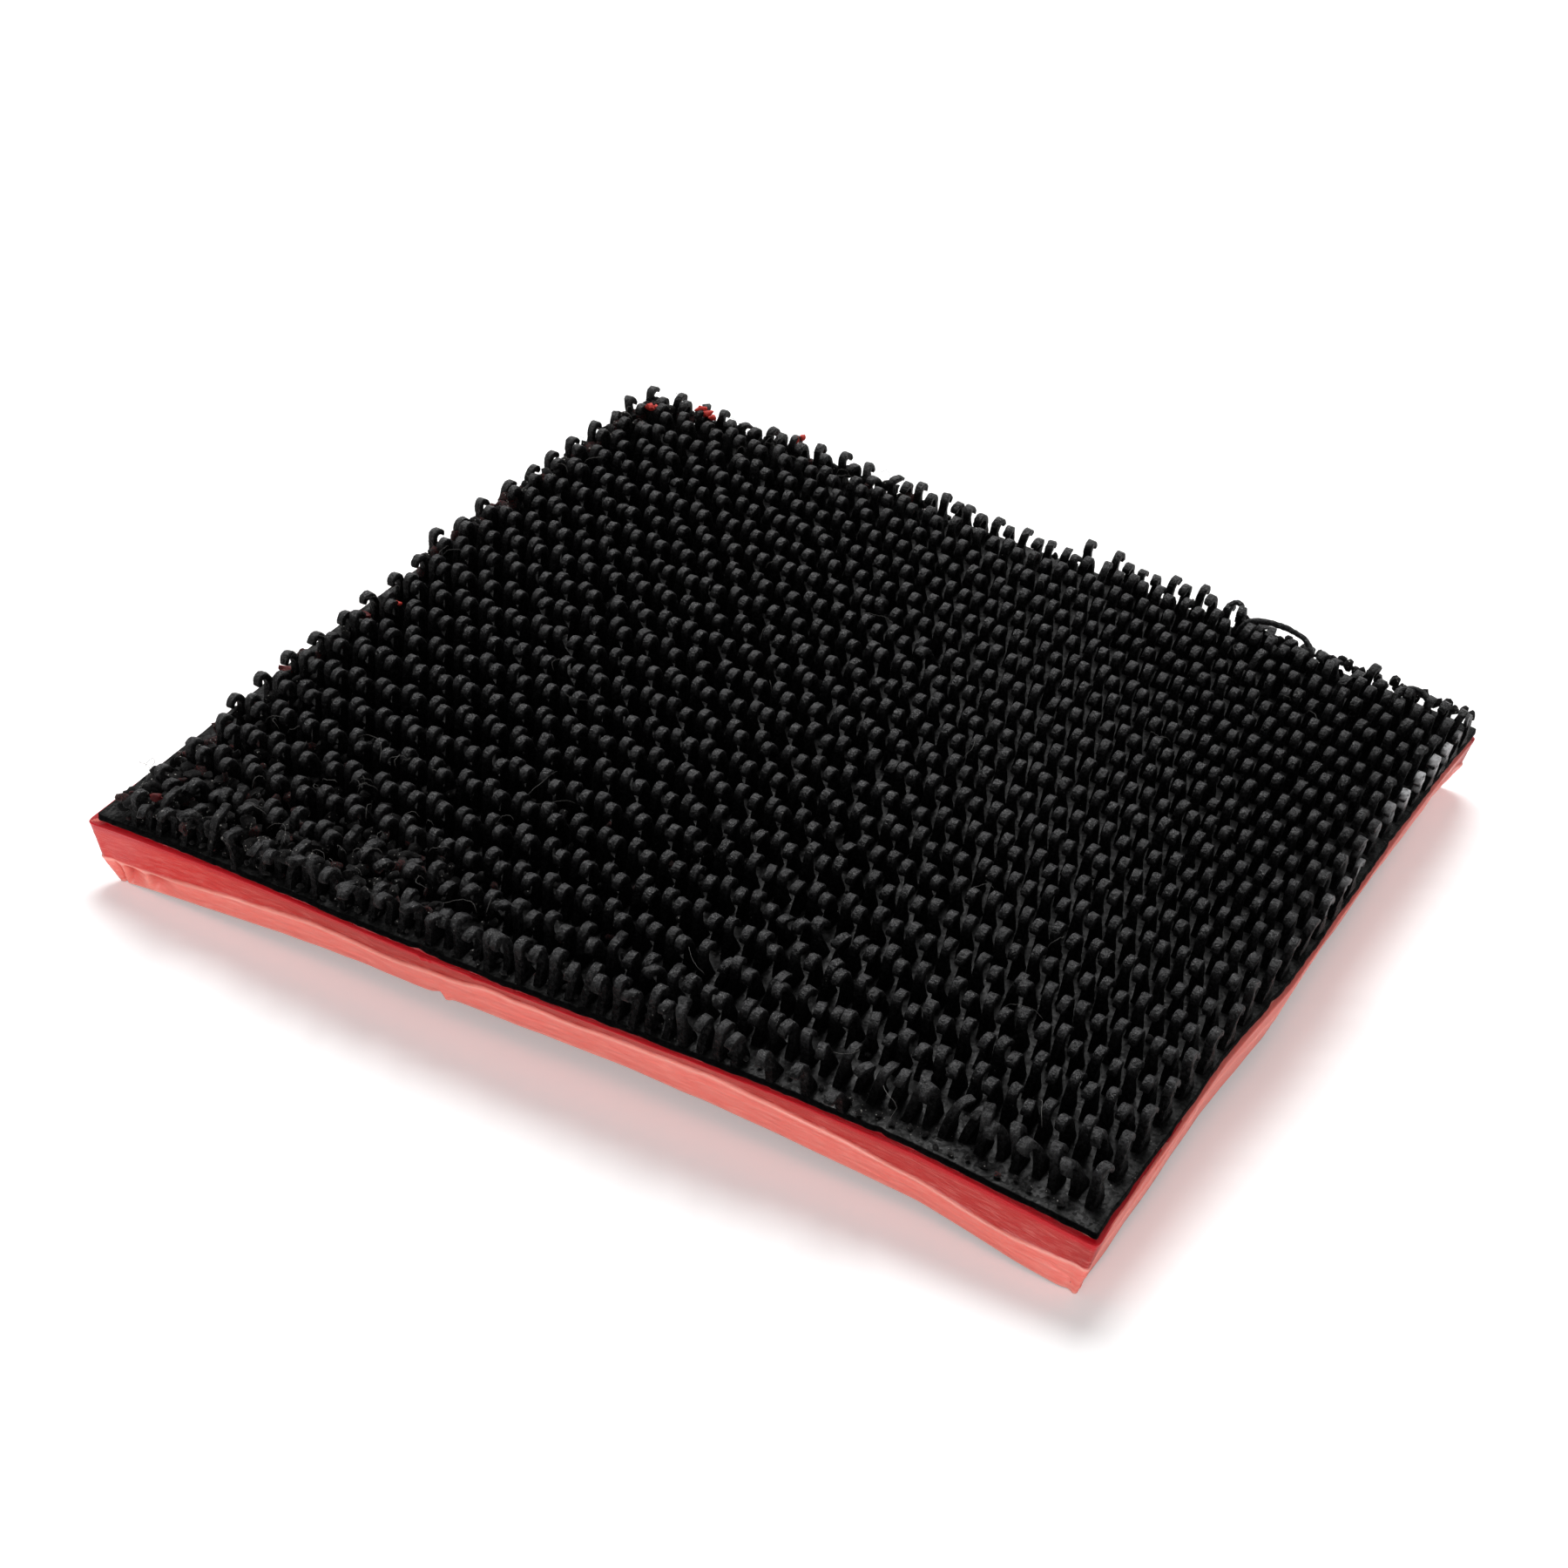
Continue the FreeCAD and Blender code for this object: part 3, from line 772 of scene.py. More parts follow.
def build_film(material):
    base = walk.along(FILM_OUTLINE, 0.07)
    ragged = 0.020 * noise1(walk.dist / 0.55, 11) + 0.012 * noise1(walk.dist / 0.21, 12)
    ragged -= sum(deep * bump(walk.dist, at, width) for at, width, deep in FILM_NICKS)
    rings = []
    for offset, depth, _ in FILM_RINGS:
        offset = offset + ragged * (0.8 if depth < 0.03 else 1.0)
        offset = offset + 0.010 * noise2(walk.dist / 0.3, depth * 14, 13)
        rings.append(on_sheet(base + walk.out * offset[:, None], FILM_TOP + depth))
    values = {"rim": [rim for _, _, rim in FILM_RINGS],
              "wall": [0.0 if depth == 0.0 else 1.0 for _, depth, _ in FILM_RINGS],
              "quiet": [0.7] * len(FILM_RINGS)}

    def sag(x, y, _):
        return 0.018 * noise2(x / 1.7, y / 1.7, 15) + 0.007 * noise2(x / 0.5, y / 0.5, 16)

    caps = ((0.34, FILM_TOP, sag), (1.4, GLUE_TOP, None))
    film = slab("hook_tape_film", rings, caps, values, material, sharp_deg=32, seed=21)
    stand_in("hook_tape")


# ---- Hooks ----

# Side view of a hook from foot to tip, each station (outer, inner) as (fore, z):
# fore towards the tip, z up from the crown
STATIONS = [
    ((-0.74, -1.40), (0.14, -1.40)), ((-0.709, -1.32), (0.107, -1.32)),
    ((-0.63, -1.10), (0.012, -1.10)), ((-0.54, -0.86), (-0.088, -0.86)),
    ((-0.44, -0.58), (-0.20, -0.56)), ((-0.415, -0.42), (-0.195, -0.41)),
    ((-0.36, -0.21), (-0.155, -0.31)), ((-0.25, -0.06), (-0.09, -0.255)),
    ((-0.10, 0.0), (-0.03, -0.24)), ((0.04, -0.02), (0.025, -0.255)),
    ((0.145, -0.08), (0.07, -0.29)), ((0.225, -0.18), (0.105, -0.335)),
    ((0.27, -0.30), (0.13, -0.39)), ((0.262, -0.37), (0.155, -0.43))]
# Cross-section: (across in hook widths, share from inner 0 ... see below, to 1)
SECTION = np.array([
    (-0.5, 0.15), (-0.5, 0.86), (-0.42, 1.0), (0.42, 1.0), (0.5, 0.86), (0.5, 0.15),
    (0.41, 0.0), (-0.41, 0.0)])        # share 0 is the outer face, 1 the inner
CORNERS = len(SECTION)
CROWN_RUB_AND_HIGHLIGHT = [(6, 0.35), (7, 0.8), (8, 1.0), (9, 1.0), (10, 0.55), (11, 0.2)]  # (station, share of the painted highlight and the rub)
CROWN_STATION = 8
FOOT_BACK, FOOT_FRONT, UNDER_TIP = -0.711, 0.11, -0.50
STEM_FORE = -0.30                      # middle of the stem
HOOK_WIDTH = 0.305

FACING_SHIFT = 0.42                    # lanes whose tips face the back sit this much further back
EDGE_GAP, EDGE_LEAN, EDGE_TRIM = 0.03, 0.22, 0.33
TORN = ((-19.5, 1.0), (-18.9, -10.5))  # no hooks left of x and in front of y
SLICED_LANE = 40                       # lane number the sliced hooks are counted in
LANES_PER_STRIP = 4
STANDING_X = (5.4, 7.2, 12.4, 16.3)    # lanes still upright at the back edge

# How much each zone raises a hook's chance of being bent, and its unevenness
BENT_CHANCE = dict(wear=0.30, torn=0.30, front=0.16, corner=0.25, clogged=0.22)
UNEVENNESS = dict(wear=2.2, torn=1.5, front=0.9, clogged=1.3, left=0.2, corner=1.2)

# facing: +1 tip to the back, -1 to the front; trim: what the knife took off the foot, at the
# heel or under the tip; cut: width left from the middle to the right-hand cut, None if whole
Place = namedtuple("Place", "lane x y facing normal trim trim_heel cut")


def hook_places():
    lanes = [(2 * LANE * i, -1, 0.0) for i in range(-16, 15)]
    lanes += [(2 * LANE * i + LANE, 1, FACING_SHIFT) for i in range(-17, 15)]
    places = []
    for lane, (x, facing, shift) in enumerate(sorted(lanes)):
        for k in range(-11, 13):
            y = ROW * k + shift
            if any(x < x_torn and y < y_torn for x_torn, y_torn in TORN):
                continue
            normal = surface_normal(x, y)
            foot_x, foot_y = x - normal[0] * HOOK_H, y - normal[1] * HOOK_H
            y_front = edge_at(FRONT_EDGE, foot_x) + EDGE_GAP
            y_back = edge_at(BACK_EDGE, foot_x) - EDGE_GAP
            foot = sorted(foot_y + facing * fore for fore in (FOOT_BACK, FOOT_FRONT))
            over_front, over_back = y_front - foot[0], foot[1] - y_back
            over = max(over_front, over_back, 0.0)
            if over > EDGE_LEAN + EDGE_TRIM:
                continue
            xs = [foot_x + side * 0.20 for side in (-1, 1) for _ in foot]
            ys = [min(max(end, y_front), y_back) for end in foot] * 2
            if not is_inside(xs, ys, FILM_OUTLINE).all():
                continue
            lean = min(over, EDGE_LEAN)
            at_front = over_front > over_back
            y += lean if at_front else -lean
            places.append(Place(lane, x, y, facing, normal, max(over - lean, 0.0),
                                (facing > 0) == at_front, None))
    return places


def sliced_places(whole):
    """Hooks the knife ran through along the right edge."""
    taken = {(round(place.x, 3), round(place.y, 1)) for place in whole}
    places = []
    for x, facing, shift in ((28 * LANE, -1, 0.0), (29 * LANE, 1, FACING_SHIFT)):
        for k in range(-10, 13):
            y = ROW * k + shift
            normal = surface_normal(x, y)
            foot_y = y - normal[1] * HOOK_H
            if ((round(x, 3), round(y, 1)) in taken or foot_y + 0.8 > edge_at(BACK_EDGE, x)
                    or foot_y - 0.8 < edge_at(FRONT_EDGE, x)):
                continue
            edge_x = edge_at(RIGHT_EDGE, foot_y, along=1)
            left = edge_x - EDGE_GAP - (x - normal[0] * HOOK_H)
            if -0.04 < left < 0.20:
                places.append(Place(SLICED_LANE, x, y, facing, normal, 0.0, False, left))
    return places


def wear_at(x, y):
    """0 fresh .. 1 crushed and dusty."""
    front = bump(y, -15.0, 1.5) * ease(x, 1.5, 6.5)
    patch = 0.85 * hill(x, y, centre=(8.5, -13.0), width=(4.8, 2.2))
    corner = 0.75 * hill(x, y, centre=(15.5, -14.2), width=(3.0, 2.6))
    return np.clip(max(front, patch, corner), 0, 1)


def zones_at(x, y, rng):
    """How far a hook belongs to each worn zone; corner is the back left one."""
    front = 1 - ease(y, -15.2, -12.6)
    back = ease(y, 14.5, 17.0) * ease(x, -16, -8)
    return dict(wear=wear_at(x, y) * (0.6 + 0.4 * rng.random()), back=back, torn=0.35 * back,
                front=front, left=1 - ease(x, -19.6, -17.6),
                clogged=front * (1 - ease(x, -9.0, 3.0)),
                corner=hill(x, y, centre=(-17.0, 16.0), width=(5.0, 2.6)))


def weigh(zones, weights):
    return sum(weight * zones[zone] for zone, weight in weights.items())


def hook_pose(place, zones, rng):
    """How one hook stands: the leans in mm per mm at the crown, the angles in radians."""
    x, y = place.x, place.y
    wear, front, left, clogged = (zones[key] for key in ("wear", "front", "left", "clogged"))
    bent = rng.random() < 0.03 + weigh(zones, BENT_CHANCE)
    uneven = 1.0 + weigh(zones, UNEVENNESS) + (2.0 if bent else 0.0)
    height = 1.0 + rng.normal(0, 0.016) - wear * rng.uniform(0.02, 0.20)
    height -= 0.06 if bent else 0.0
    width = HOOK_WIDTH * (1 + rng.normal(0, 0.022))
    lean_fore = rng.normal(0, 0.045) * uneven
    lean_x = rng.normal(0, 0.040) * uneven
    twist = rng.normal(0, 0.07) * uneven
    # curl of the tip: + pressed down, - opened up
    curl = rng.normal(0.0, 0.11) * (1 + 0.6 * wear)
    if bent and rng.random() < 0.5:
        curl -= 0.9 * rng.random()
    if rng.random() < 0.55 * front:
        curl = rng.uniform(-1.15, 0.25)
    swell = 1.0
    if rng.random() < 0.6 * front + 0.10:
        swell += rng.uniform(0.05, 0.42)
    lean_x -= 0.03 * left + 0.20 * left * (1 - ease(y, -12.5, -9.0))
    height -= 0.07 * left * rng.random() + 0.16 * clogged * rng.random()
    # the last row at the back is knocked down, most of all to the right
    if edge_at(BACK_EDGE, x) - y < 1.45 and x > -3.0:
        if not min(abs(x - lane_x) for lane_x in STANDING_X) < 0.32:
            low = 0.45 * ease(x, 6.6, 8.0)
            height *= rng.uniform(0.86 - 0.55 * low, 0.99 - 0.30 * low)
            lean_x += rng.normal(0, 0.05 + 0.25 * low)
            lean_fore += rng.normal(0, 0.04 + 0.20 * low)
            width *= 1 + 0.35 * low * rng.random()
    return SimpleNamespace(height=height, width=width, lean_fore=lean_fore, lean_x=lean_x,
                           twist=twist, curl=curl, swell=swell, fat=1 + rng.normal(0, 0.02))


def hook_profile(place, pose):
    """The stations after the knife, the curl and the swelling, and the swelling at each."""
    profile = np.array(STATIONS)
    fore, z = profile[..., 0], profile[..., 1]
    if place.trim > 0.02 and place.trim_heel:
        profile[..., 0] = np.maximum(fore, FOOT_BACK + place.trim)
    elif place.trim > 0.02:
        profile[..., 0] = np.where(z < UNDER_TIP, np.minimum(fore, FOOT_FRONT - place.trim), fore)
    # everything past the crown turns about the crown's centre
    pivot = np.array([-0.06, -0.12])
    station = np.arange(len(profile))
    past = ease(profile.mean(1)[:, 0], -0.07, 0.19) * (station >= CROWN_STATION)
    angle = -pose.curl * past
    fore, z = np.moveaxis(profile - pivot, -1, 0)
    cos, sin = np.cos(angle)[:, None], np.sin(angle)[:, None]
    profile = np.stack([fore * cos - z * sin, fore * sin + z * cos], -1) + pivot
    grow = 1 + (pose.swell - 1) * np.clip((station - 9) / 3.0, 0, 1)
    centre = profile.mean(1, keepdims=True)
    return centre + (profile - centre) * grow[:, None, None], grow


def hook_points(place, pose, rng):
    """Vertices (station, corner, xyz) of one hook, and their height: 0 film, 1 crown."""
    profile, grow = hook_profile(place, pose)
    share = SECTION[:, 1][None, :, None]
    points = profile[:, None, 0, :] * (1 - share) + profile[:, None, 1, :] * share
    fore, z = points[..., 0], points[..., 1]
    side = np.broadcast_to(SECTION[:, 0][None, :] * pose.width, fore.shape).copy()
    lean_x, twist = pose.lean_x, pose.twist
    if place.cut is not None:
        side = np.minimum(side, place.cut + 0.012 * rng.normal(0, 1, side.shape))
        lean_x, twist = min(lean_x, 0.0), 0.0
    # the tip narrows a little and its corners are rubbed round
    taper = np.ones(len(STATIONS))
    taper[-2:] = 0.95, 0.80
    side *= (taper * (1 + 0.5 * (grow - 1)))[:, None]
    up = np.clip((z + HOOK_H) / HOOK_H, 0, 1.1)
    z = -HOOK_H + (z + HOOK_H) * np.where(z > -HOOK_H, pose.height, 1.0)
    fore = (fore - STEM_FORE) * pose.fat
    bend = up ** 1.6
    cos, sin = np.cos(twist * bend), np.sin(twist * bend)
    side, fore = side * cos - fore * sin, side * sin + fore * cos + STEM_FORE
    fore = fore + pose.lean_fore * bend * HOOK_H
    side = side + lean_x * bend * HOOK_H
    z = z - (pose.lean_fore ** 2 + lean_x ** 2) * 0.5 * bend * HOOK_H
    shift_x, shift_y = rng.normal(0, 0.010), rng.normal(0, 0.014)
    # small unevenness of the moulding
    side = side + rng.normal(0, 0.009, side.shape)
    fore = fore + rng.normal(0, 0.009, fore.shape)
    z = z + rng.normal(0, 0.007, z.shape)
    normal = place.normal
    x_axis = np.array([1.0, 0, 0]) - normal * normal[0]
    x_axis /= np.linalg.norm(x_axis)
    y_axis = np.cross(normal, x_axis)
    origin = np.array([place.x + shift_x, place.y + shift_y, float(drop(place.x, place.y))])
    return (origin + side[..., None] * x_axis + (place.facing * fore)[..., None] * y_axis
            + z[..., None] * normal), up


def hook_faces():
    """Faces of one hook whose tip points to the front; the tip and foot points come last."""
    turn = [(b, (b + 1) % CORNERS) for b in range(CORNERS)]
    last = (len(STATIONS) - 1) * CORNERS
    tip, foot = last + CORNERS, last + CORNERS + 1
    faces = [[a + b, a + c, a + CORNERS + c, a + CORNERS + b]
             for a in range(0, last, CORNERS) for b, c in turn]
    for b, c in turn:
        faces += [[last + b, last + c, tip], [c, b, foot]]
    return faces


def crown_mask():
    mask = np.zeros((len(STATIONS), CORNERS))
    for station, rub_and_highlight in CROWN_RUB_AND_HIGHLIGHT:
        mask[station, 6:8] = rub_and_highlight
        mask[station, [0, 5]] = 0.4 * rub_and_highlight
    return mask


def pale_mask(place, rng):
    """Pale cut faces on the right flank of hooks the knife caught at the right edge, and painted
    highlights on whole hooks near that edge.
    """
    x, y = place.x, place.y
    mask = np.zeros((len(STATIONS), CORNERS))
    if place.cut is not None:
        flank = 0.25 + 0.75 * bump(y, 10.5, 4.5)
        mask[5:12, 3:6] = flank
        mask[7:11, 2:7] = np.maximum(mask[7:11, 2:7], 0.55 * flank)
    # painted highlight on the right flanks of whole hooks near the right edge
    elif x > 16.3 and 4.0 < y < 14.0 and rng.random() < 0.6:
        mask[4:11, 3:6] = 0.5 * bump(y, 10.5, 3.6) + 0.1
    # painted highlight on the crowns and right flanks of hooks in the lane at x 16.8
    if 16.7 < x < 16.9 and 8.0 < y < 14.8:
        mask[4:12, 3:7] = 1.0 if y > 9.5 else 0.4
        mask[8:11, 7] = 0.5 if y > 9.5 else 0.1
    return mask


def haze_of(place, zones, rng):
    dusty_left = 0.35 * hill(place.x, place.y, centre=(-14.0, -13.5), width=(6.0, 3.2))
    edge_dust = 0.35 * zones["left"] + 0.16 * zones["front"] * rng.random()
    edge_dust += 0.65 * zones["corner"] + 0.15 * zones["back"]
    stray = 0.35 if rng.random() < 0.04 else 0
    return np.clip(zones["wear"] * 0.42 + dusty_left + edge_dust + 0.06 + stray, 0, 1)


def build_hooks(material):
    rng = np.random.default_rng(4)
    whole = hook_places()
    faces = hook_faces()
    crown = np.r_[crown_mask().ravel(), 0.0, 0.0]
    count = len(crown)
    keys = ("rnd", "haze", "crown", "pale", "clog", "up")
    strips = {}
    for place in whole + sliced_places(whole):
        zones = zones_at(place.x, place.y, rng)
        pose = hook_pose(place, zones, rng)
        points, up = hook_points(place, pose, rng)
        tip, neck = points[-1].mean(0), points[-2].mean(0)
        strip = strips.setdefault(place.lane // LANES_PER_STRIP,
                                  {"verts": [], "faces": [], **{key: [] for key in keys}})
        base = count * len(strip["verts"])
        strip["verts"].append(
            np.vstack([points.reshape(-1, 3), tip + (tip - neck) * 0.35, points[0].mean(0)]))
        order = 1 if place.facing < 0 else -1
        strip["faces"] += [[base + i for i in face[::order]] for face in faces]
        strip["rnd"].append(np.full(count, rng.random()))
        strip["haze"].append(np.full(count, haze_of(place, zones, rng)))
        strip["crown"].append(crown)
        strip["pale"].append(np.r_[pale_mask(place, rng).ravel(), 0.0, 0.0])
        strip["clog"].append(np.full(count, zones["clogged"] + 0.5 * zones["corner"]))
        strip["up"].append(np.r_[up.ravel(), up[-1].mean(), 0.0])
    for i, strip in sorted(strips.items()):
        obj = make_mesh("hook_strip_%02d" % (i + 1), np.vstack(strip["verts"]), strip["faces"],
                        {key: np.concatenate(strip[key]) for key in keys}, material, 62)
        weighted = obj.modifiers.new("face_weighted", "WEIGHTED_NORMAL")
        weighted.keep_sharp = True
        weighted.weight = 50
        stand_in("hook_tape")


# Strands at the back edge: points (x, y, height over the crowns' sheet), radius
STRANDS = (
    ([(7.35, 16.75, -0.75), (7.55, 16.95, -0.35), (8.00, 17.18, -0.16), (8.55, 17.36, -0.12),
      (9.15, 17.50, -0.14), (9.75, 17.50, -0.22), (10.15, 17.30, -0.45),
      (10.35, 17.05, -0.85)], 0.115),
    ([(13.85, 16.9, -0.70), (13.95, 17.25, -0.25), (14.25, 17.50, -0.14),
      (14.65, 17.60, -0.18), (14.98, 17.45, -0.42), (15.10, 17.20, -0.80)], 0.105),
    ([(6.62, 17.20, -0.45), (6.66, 17.45, -0.14), (6.82, 17.66, -0.08), (7.02, 17.58, -0.12),
      (7.25, 17.25, -0.22), (7.45, 16.95, -0.42)], 0.10))


def build_strands(material):
    """Hooks drawn out and bent over by the knife at the back edge."""
    rng = np.random.default_rng(37)
    values = dict(rnd=0.5, haze=0.3, crown=0.45, pale=0.0, clog=0.0, up=1.0)
    parts = []
    for points, radius in STRANDS:
        points = np.array(points)
        last = len(points) - 1
        at = np.linspace(0, last, 6 * last + 1)
        path = np.array([np.interp(at, np.arange(last + 1), column) for column in points.T]).T
        for _ in range(3):
            path[1:-1] = (path[:-2] + 2 * path[1:-1] + path[2:]) / 4
        path[:, 2] += drop(path[:, 0], path[:, 1])
        path += rng.normal(0, 0.008, path.shape)
        thin_ends = np.clip(0.65 + np.minimum(at, at[::-1]) * 0.5, 0, 1)
        radii = radius * (1 + 0.12 * noise1(at * 1.3, 95)) * thin_ends
        parts.append((tube(path, radii, sides=8, up=(0.1, 0.2, 1.0)), *values.values()))
    strands = join_parts("hook_strands", parts, material, list(values))


# ---- Adhesive ----

GLUE_RINGS = [  # (outward offset, depth below the adhesive's top)
    (-0.03, 0.0), (0.0, 0.02), (0.012, 0.075), (0.0, 0.13), (-0.03, GLUE_T)]


def build_glue(material):
    base = walk.along(even_outline(-GLUE_INSET), 0.1)
    squeeze = 0.03 * noise1(walk.dist / 0.9, 31) + 0.02 * noise1(walk.dist / 0.3, 32)
    rings = [on_sheet(base + walk.out * (offset + squeeze)[:, None], GLUE_TOP + depth)
             for offset, depth in GLUE_RINGS]
    caps = ((1.4, GLUE_TOP, None), (1.4, RUBBER_TOP, None))
    glue = slab("adhesive_layer_visual", rings, caps, {}, material, sharp_deg=40, seed=41)
    stand_in("adhesive_layer")
    return glue


# ---- Rubber ----

# Ridge where the knife's two cuts meet on the front:
# (share along the side, share of the wall's height as the camera sees it)
RIDGE_FRONT = np.array([
    (0.0, .59), (.0701, .60), (.1081, .54), (.1759, .48), (.2114, .43), (.2567, .36),
    (.2966, .41), (.3345, .45), (.3791, .37), (.4153, .35), (.4424, .23), (.4841, .28),
    (.5245, .30), (.5645, .27), (.6042, .26), (.6347, .24), (.6733, .24), (.7113, .28),
    (.749, .34), (.7863, .37), (.8151, .44), (.8514, .49), (.8894, .56), (.927, .55),
    (.9637, .50), (1.0, .42)])
SEEN_UPRIGHT, SEEN_INWARD = 0.81, 0.463  # foreshortening of heights and of depths inward
SCALLOPS = [  # (start and end, as shares of the front side, depth)
    (0.0085, 0.0200, 0.14), (0.0240, 0.0515, 0.24), (0.0540, 0.0930, 0.22)]
PUSHED_OUT = [  # small lumps under the film: (share of the front side, width, how far out)
    (0.386, 0.0035, 0.10), (0.393, 0.002, 0.07), (0.440, 0.0030, 0.08), (0.447, 0.0018, 0.06),
    (0.715, 0.002, 0.05)]
LIP_DOWN, STEP_DOWN, FOOT_DOWN = 0.012, 0.030, 0.985  # shares of the rubber's height


def rubber_wall(top, bottom):
    """What the wall's rows are worked out from, one value for each sample round it."""
    side, share, dist = walk.side, walk.share, walk.dist
    is_front = side == FRONT
    inset = np.zeros(walk.count)
    for i, rows in enumerate(RUBBER_SIDES):
        on_side = side == i
        inset[on_side] = np.interp(share[on_side], rows[:, 0], rows[:, 1] + rows[:, 2])
    seen = np.interp(share, RIDGE_FRONT[:, 0], RIDGE_FRONT[:, 1])
    seen_height = RUBBER_T * SEEN_UPRIGHT
    ridge = (seen * (seen_height - SEEN_INWARD * inset)
             + SEEN_INWARD * 0.48 * inset) / seen_height
    other = 0.46 + 0.10 * noise1(dist / 6.0, 51) + 0.03 * noise1(dist / 1.7, 52)
    ridge = walk.smooth(np.where(is_front, ridge, other), 0.35)
    ridge = ridge + 0.008 * noise1(dist / 0.8, 53)
    middle = ease(share, 0.0, 0.10) * (1 - ease(share, 0.90, 1.0))
    step = np.where(is_front, 0.045 + 0.05 * middle, 0.03 + 0.02 * noise1(dist / 4, 54))
    step = walk.smooth(step, 0.4) * (1 + 0.35 * noise1(dist / 2.3, 55))
    ridge_inset = inset * np.where(is_front, 0.50, 0.42 + 0.1 * noise1(dist / 7, 56)) + 0.02
    ridge_inset = walk.smooth(ridge_inset, 0.3)
    overhang = ((top - bottom) * walk.out).sum(1)
    total = walk.smooth(overhang, 0.3)          # real overhang, corners included
    ridge_inset = np.minimum(ridge_inset, np.maximum(total * 0.75, 0.01) + 0.03)
    return SimpleNamespace(is_front=is_front, front=is_front.astype(float), middle=middle,
                           ridge=ridge, ridge_inset=ridge_inset, total=total,
                           overhang=overhang, step=np.clip(step, 0.012, 0.12))


def wall_row(wall, kind, t, edge_t):
    """Share of the height, inset, lower-cut mask and painted-highlight rim mask of one row of the
    wall.
    """
    ones = np.ones(walk.count)
    ridge, rim_front = wall.ridge, 0.4 + 0.6 * wall.front
    if kind == "lip":
        return LIP_DOWN * t * ones, 0.030 * (1 - t) * ones, 0 * ones, 0 * ones
    if kind == "up":
        belly = 0.035 * math.sin(math.pi * t) * wall.front * wall.middle
        return (LIP_DOWN + (ridge - LIP_DOWN) * t, wall.ridge_inset * t + belly,
                0 * ones, 0 * ones)
    if kind == "step":
        rim = (1.0 if t > 0.5 else 0.3) * (0.45 + 0.55 * wall.front)
        return (ridge + STEP_DOWN * t, wall.ridge_inset - wall.step * (t * t * (3 - 2 * t)),
                t * ones, rim)
    if kind == "low":
        start = wall.ridge_inset - wall.step
        rim = 0.55 if t < edge_t else (0.5 if t > 1 - edge_t else 0.0)
        return (ridge + STEP_DOWN + (FOOT_DOWN - ridge - STEP_DOWN) * t,
                start + (wall.total - start) * t, ones, rim * rim_front)
    return ((FOOT_DOWN + (1 - FOOT_DOWN) * t) * ones, wall.total + 0.028 * t, ones,
            0.8 * (1 - t) * rim_front)


def cut_waves(kind, t, down):
    """Shape of the cuts: slow waves, then fine lengthwise knife lines."""
    dist = walk.dist
    waves = 0.0
    if kind == "up":
        waves = math.sin(math.pi * min(t, 0.98)) * (
            0.03 * noise2(dist / 3.4, down * 2.2, 59)
            + 0.012 * noise2(dist / 1.9 + down * 2, down * 15, 60))
    elif kind in ("low", "step"):
        waves = (1.0 if kind == "low" and t < 0.97 else 0.5) * (
            0.020 * noise2(dist / 2.8, down * 3.0, 61)
            + 0.016 * noise2(dist / 2.6 + down * 1.6, down * 13, 62)
            + 0.008 * noise2(dist / 1.3 + down * 3, down * 34, 63))
    slow = 0.022 * noise1(dist / 3.1, 57) + 0.014 * noise1(dist / 1.2, 58)
    return waves + slow * (0.35 if down.mean() < 0.05 else 1.0)


def lower_marks(wall, down, rim):
    """Marks on the front's lower cut: how far they push it out, and the painted-highlight rim
    mask with them.
    """
    share = walk.share
    push = 0.0
    level = np.clip((down - wall.ridge - 0.02) / (0.97 - wall.ridge), 0, 1)
    # three scallops where the knife started, at the left end
    for start, end, deep in SCALLOPS:
        u = (share - start) / (end - start)
        bowl = np.where((u > 0) & (u < 1) & wall.is_front,
                        ease(u, 0.0, 0.16) * (1 - ease(u, 0.25, 1.0)), 0.0)
        push = push - deep * bowl * np.sin(math.pi * np.clip(level * 1.05, 0, 1)) ** 0.7
        lip = np.where(wall.is_front, bump(u, 0.0, 0.10), 0.0) * np.sin(math.pi * level)
        push = push + 0.035 * lip
        rim = np.maximum(rim, 0.7 * lip)
    # nick and small tear on the bottom edge
    nick = 0.13 * bump(share, 0.3800, 0.0050) * ease(down, 0.80, 0.97)
    tear = 0.10 * bump(share, 0.3915, 0.0035) * ease(down, 0.82, 0.95)
    # groove running out near the right end
    groove_down = 0.66 + 0.10 * ease(share, 0.955, 0.99)
    groove_ends = ease(share, 0.950, 0.965) * (1 - ease(share, 0.984, 0.992))
    groove = 0.05 * bump(down, groove_down, 0.035) * groove_ends
    return push + np.where(wall.is_front, tear - nick - groove, 0), rim


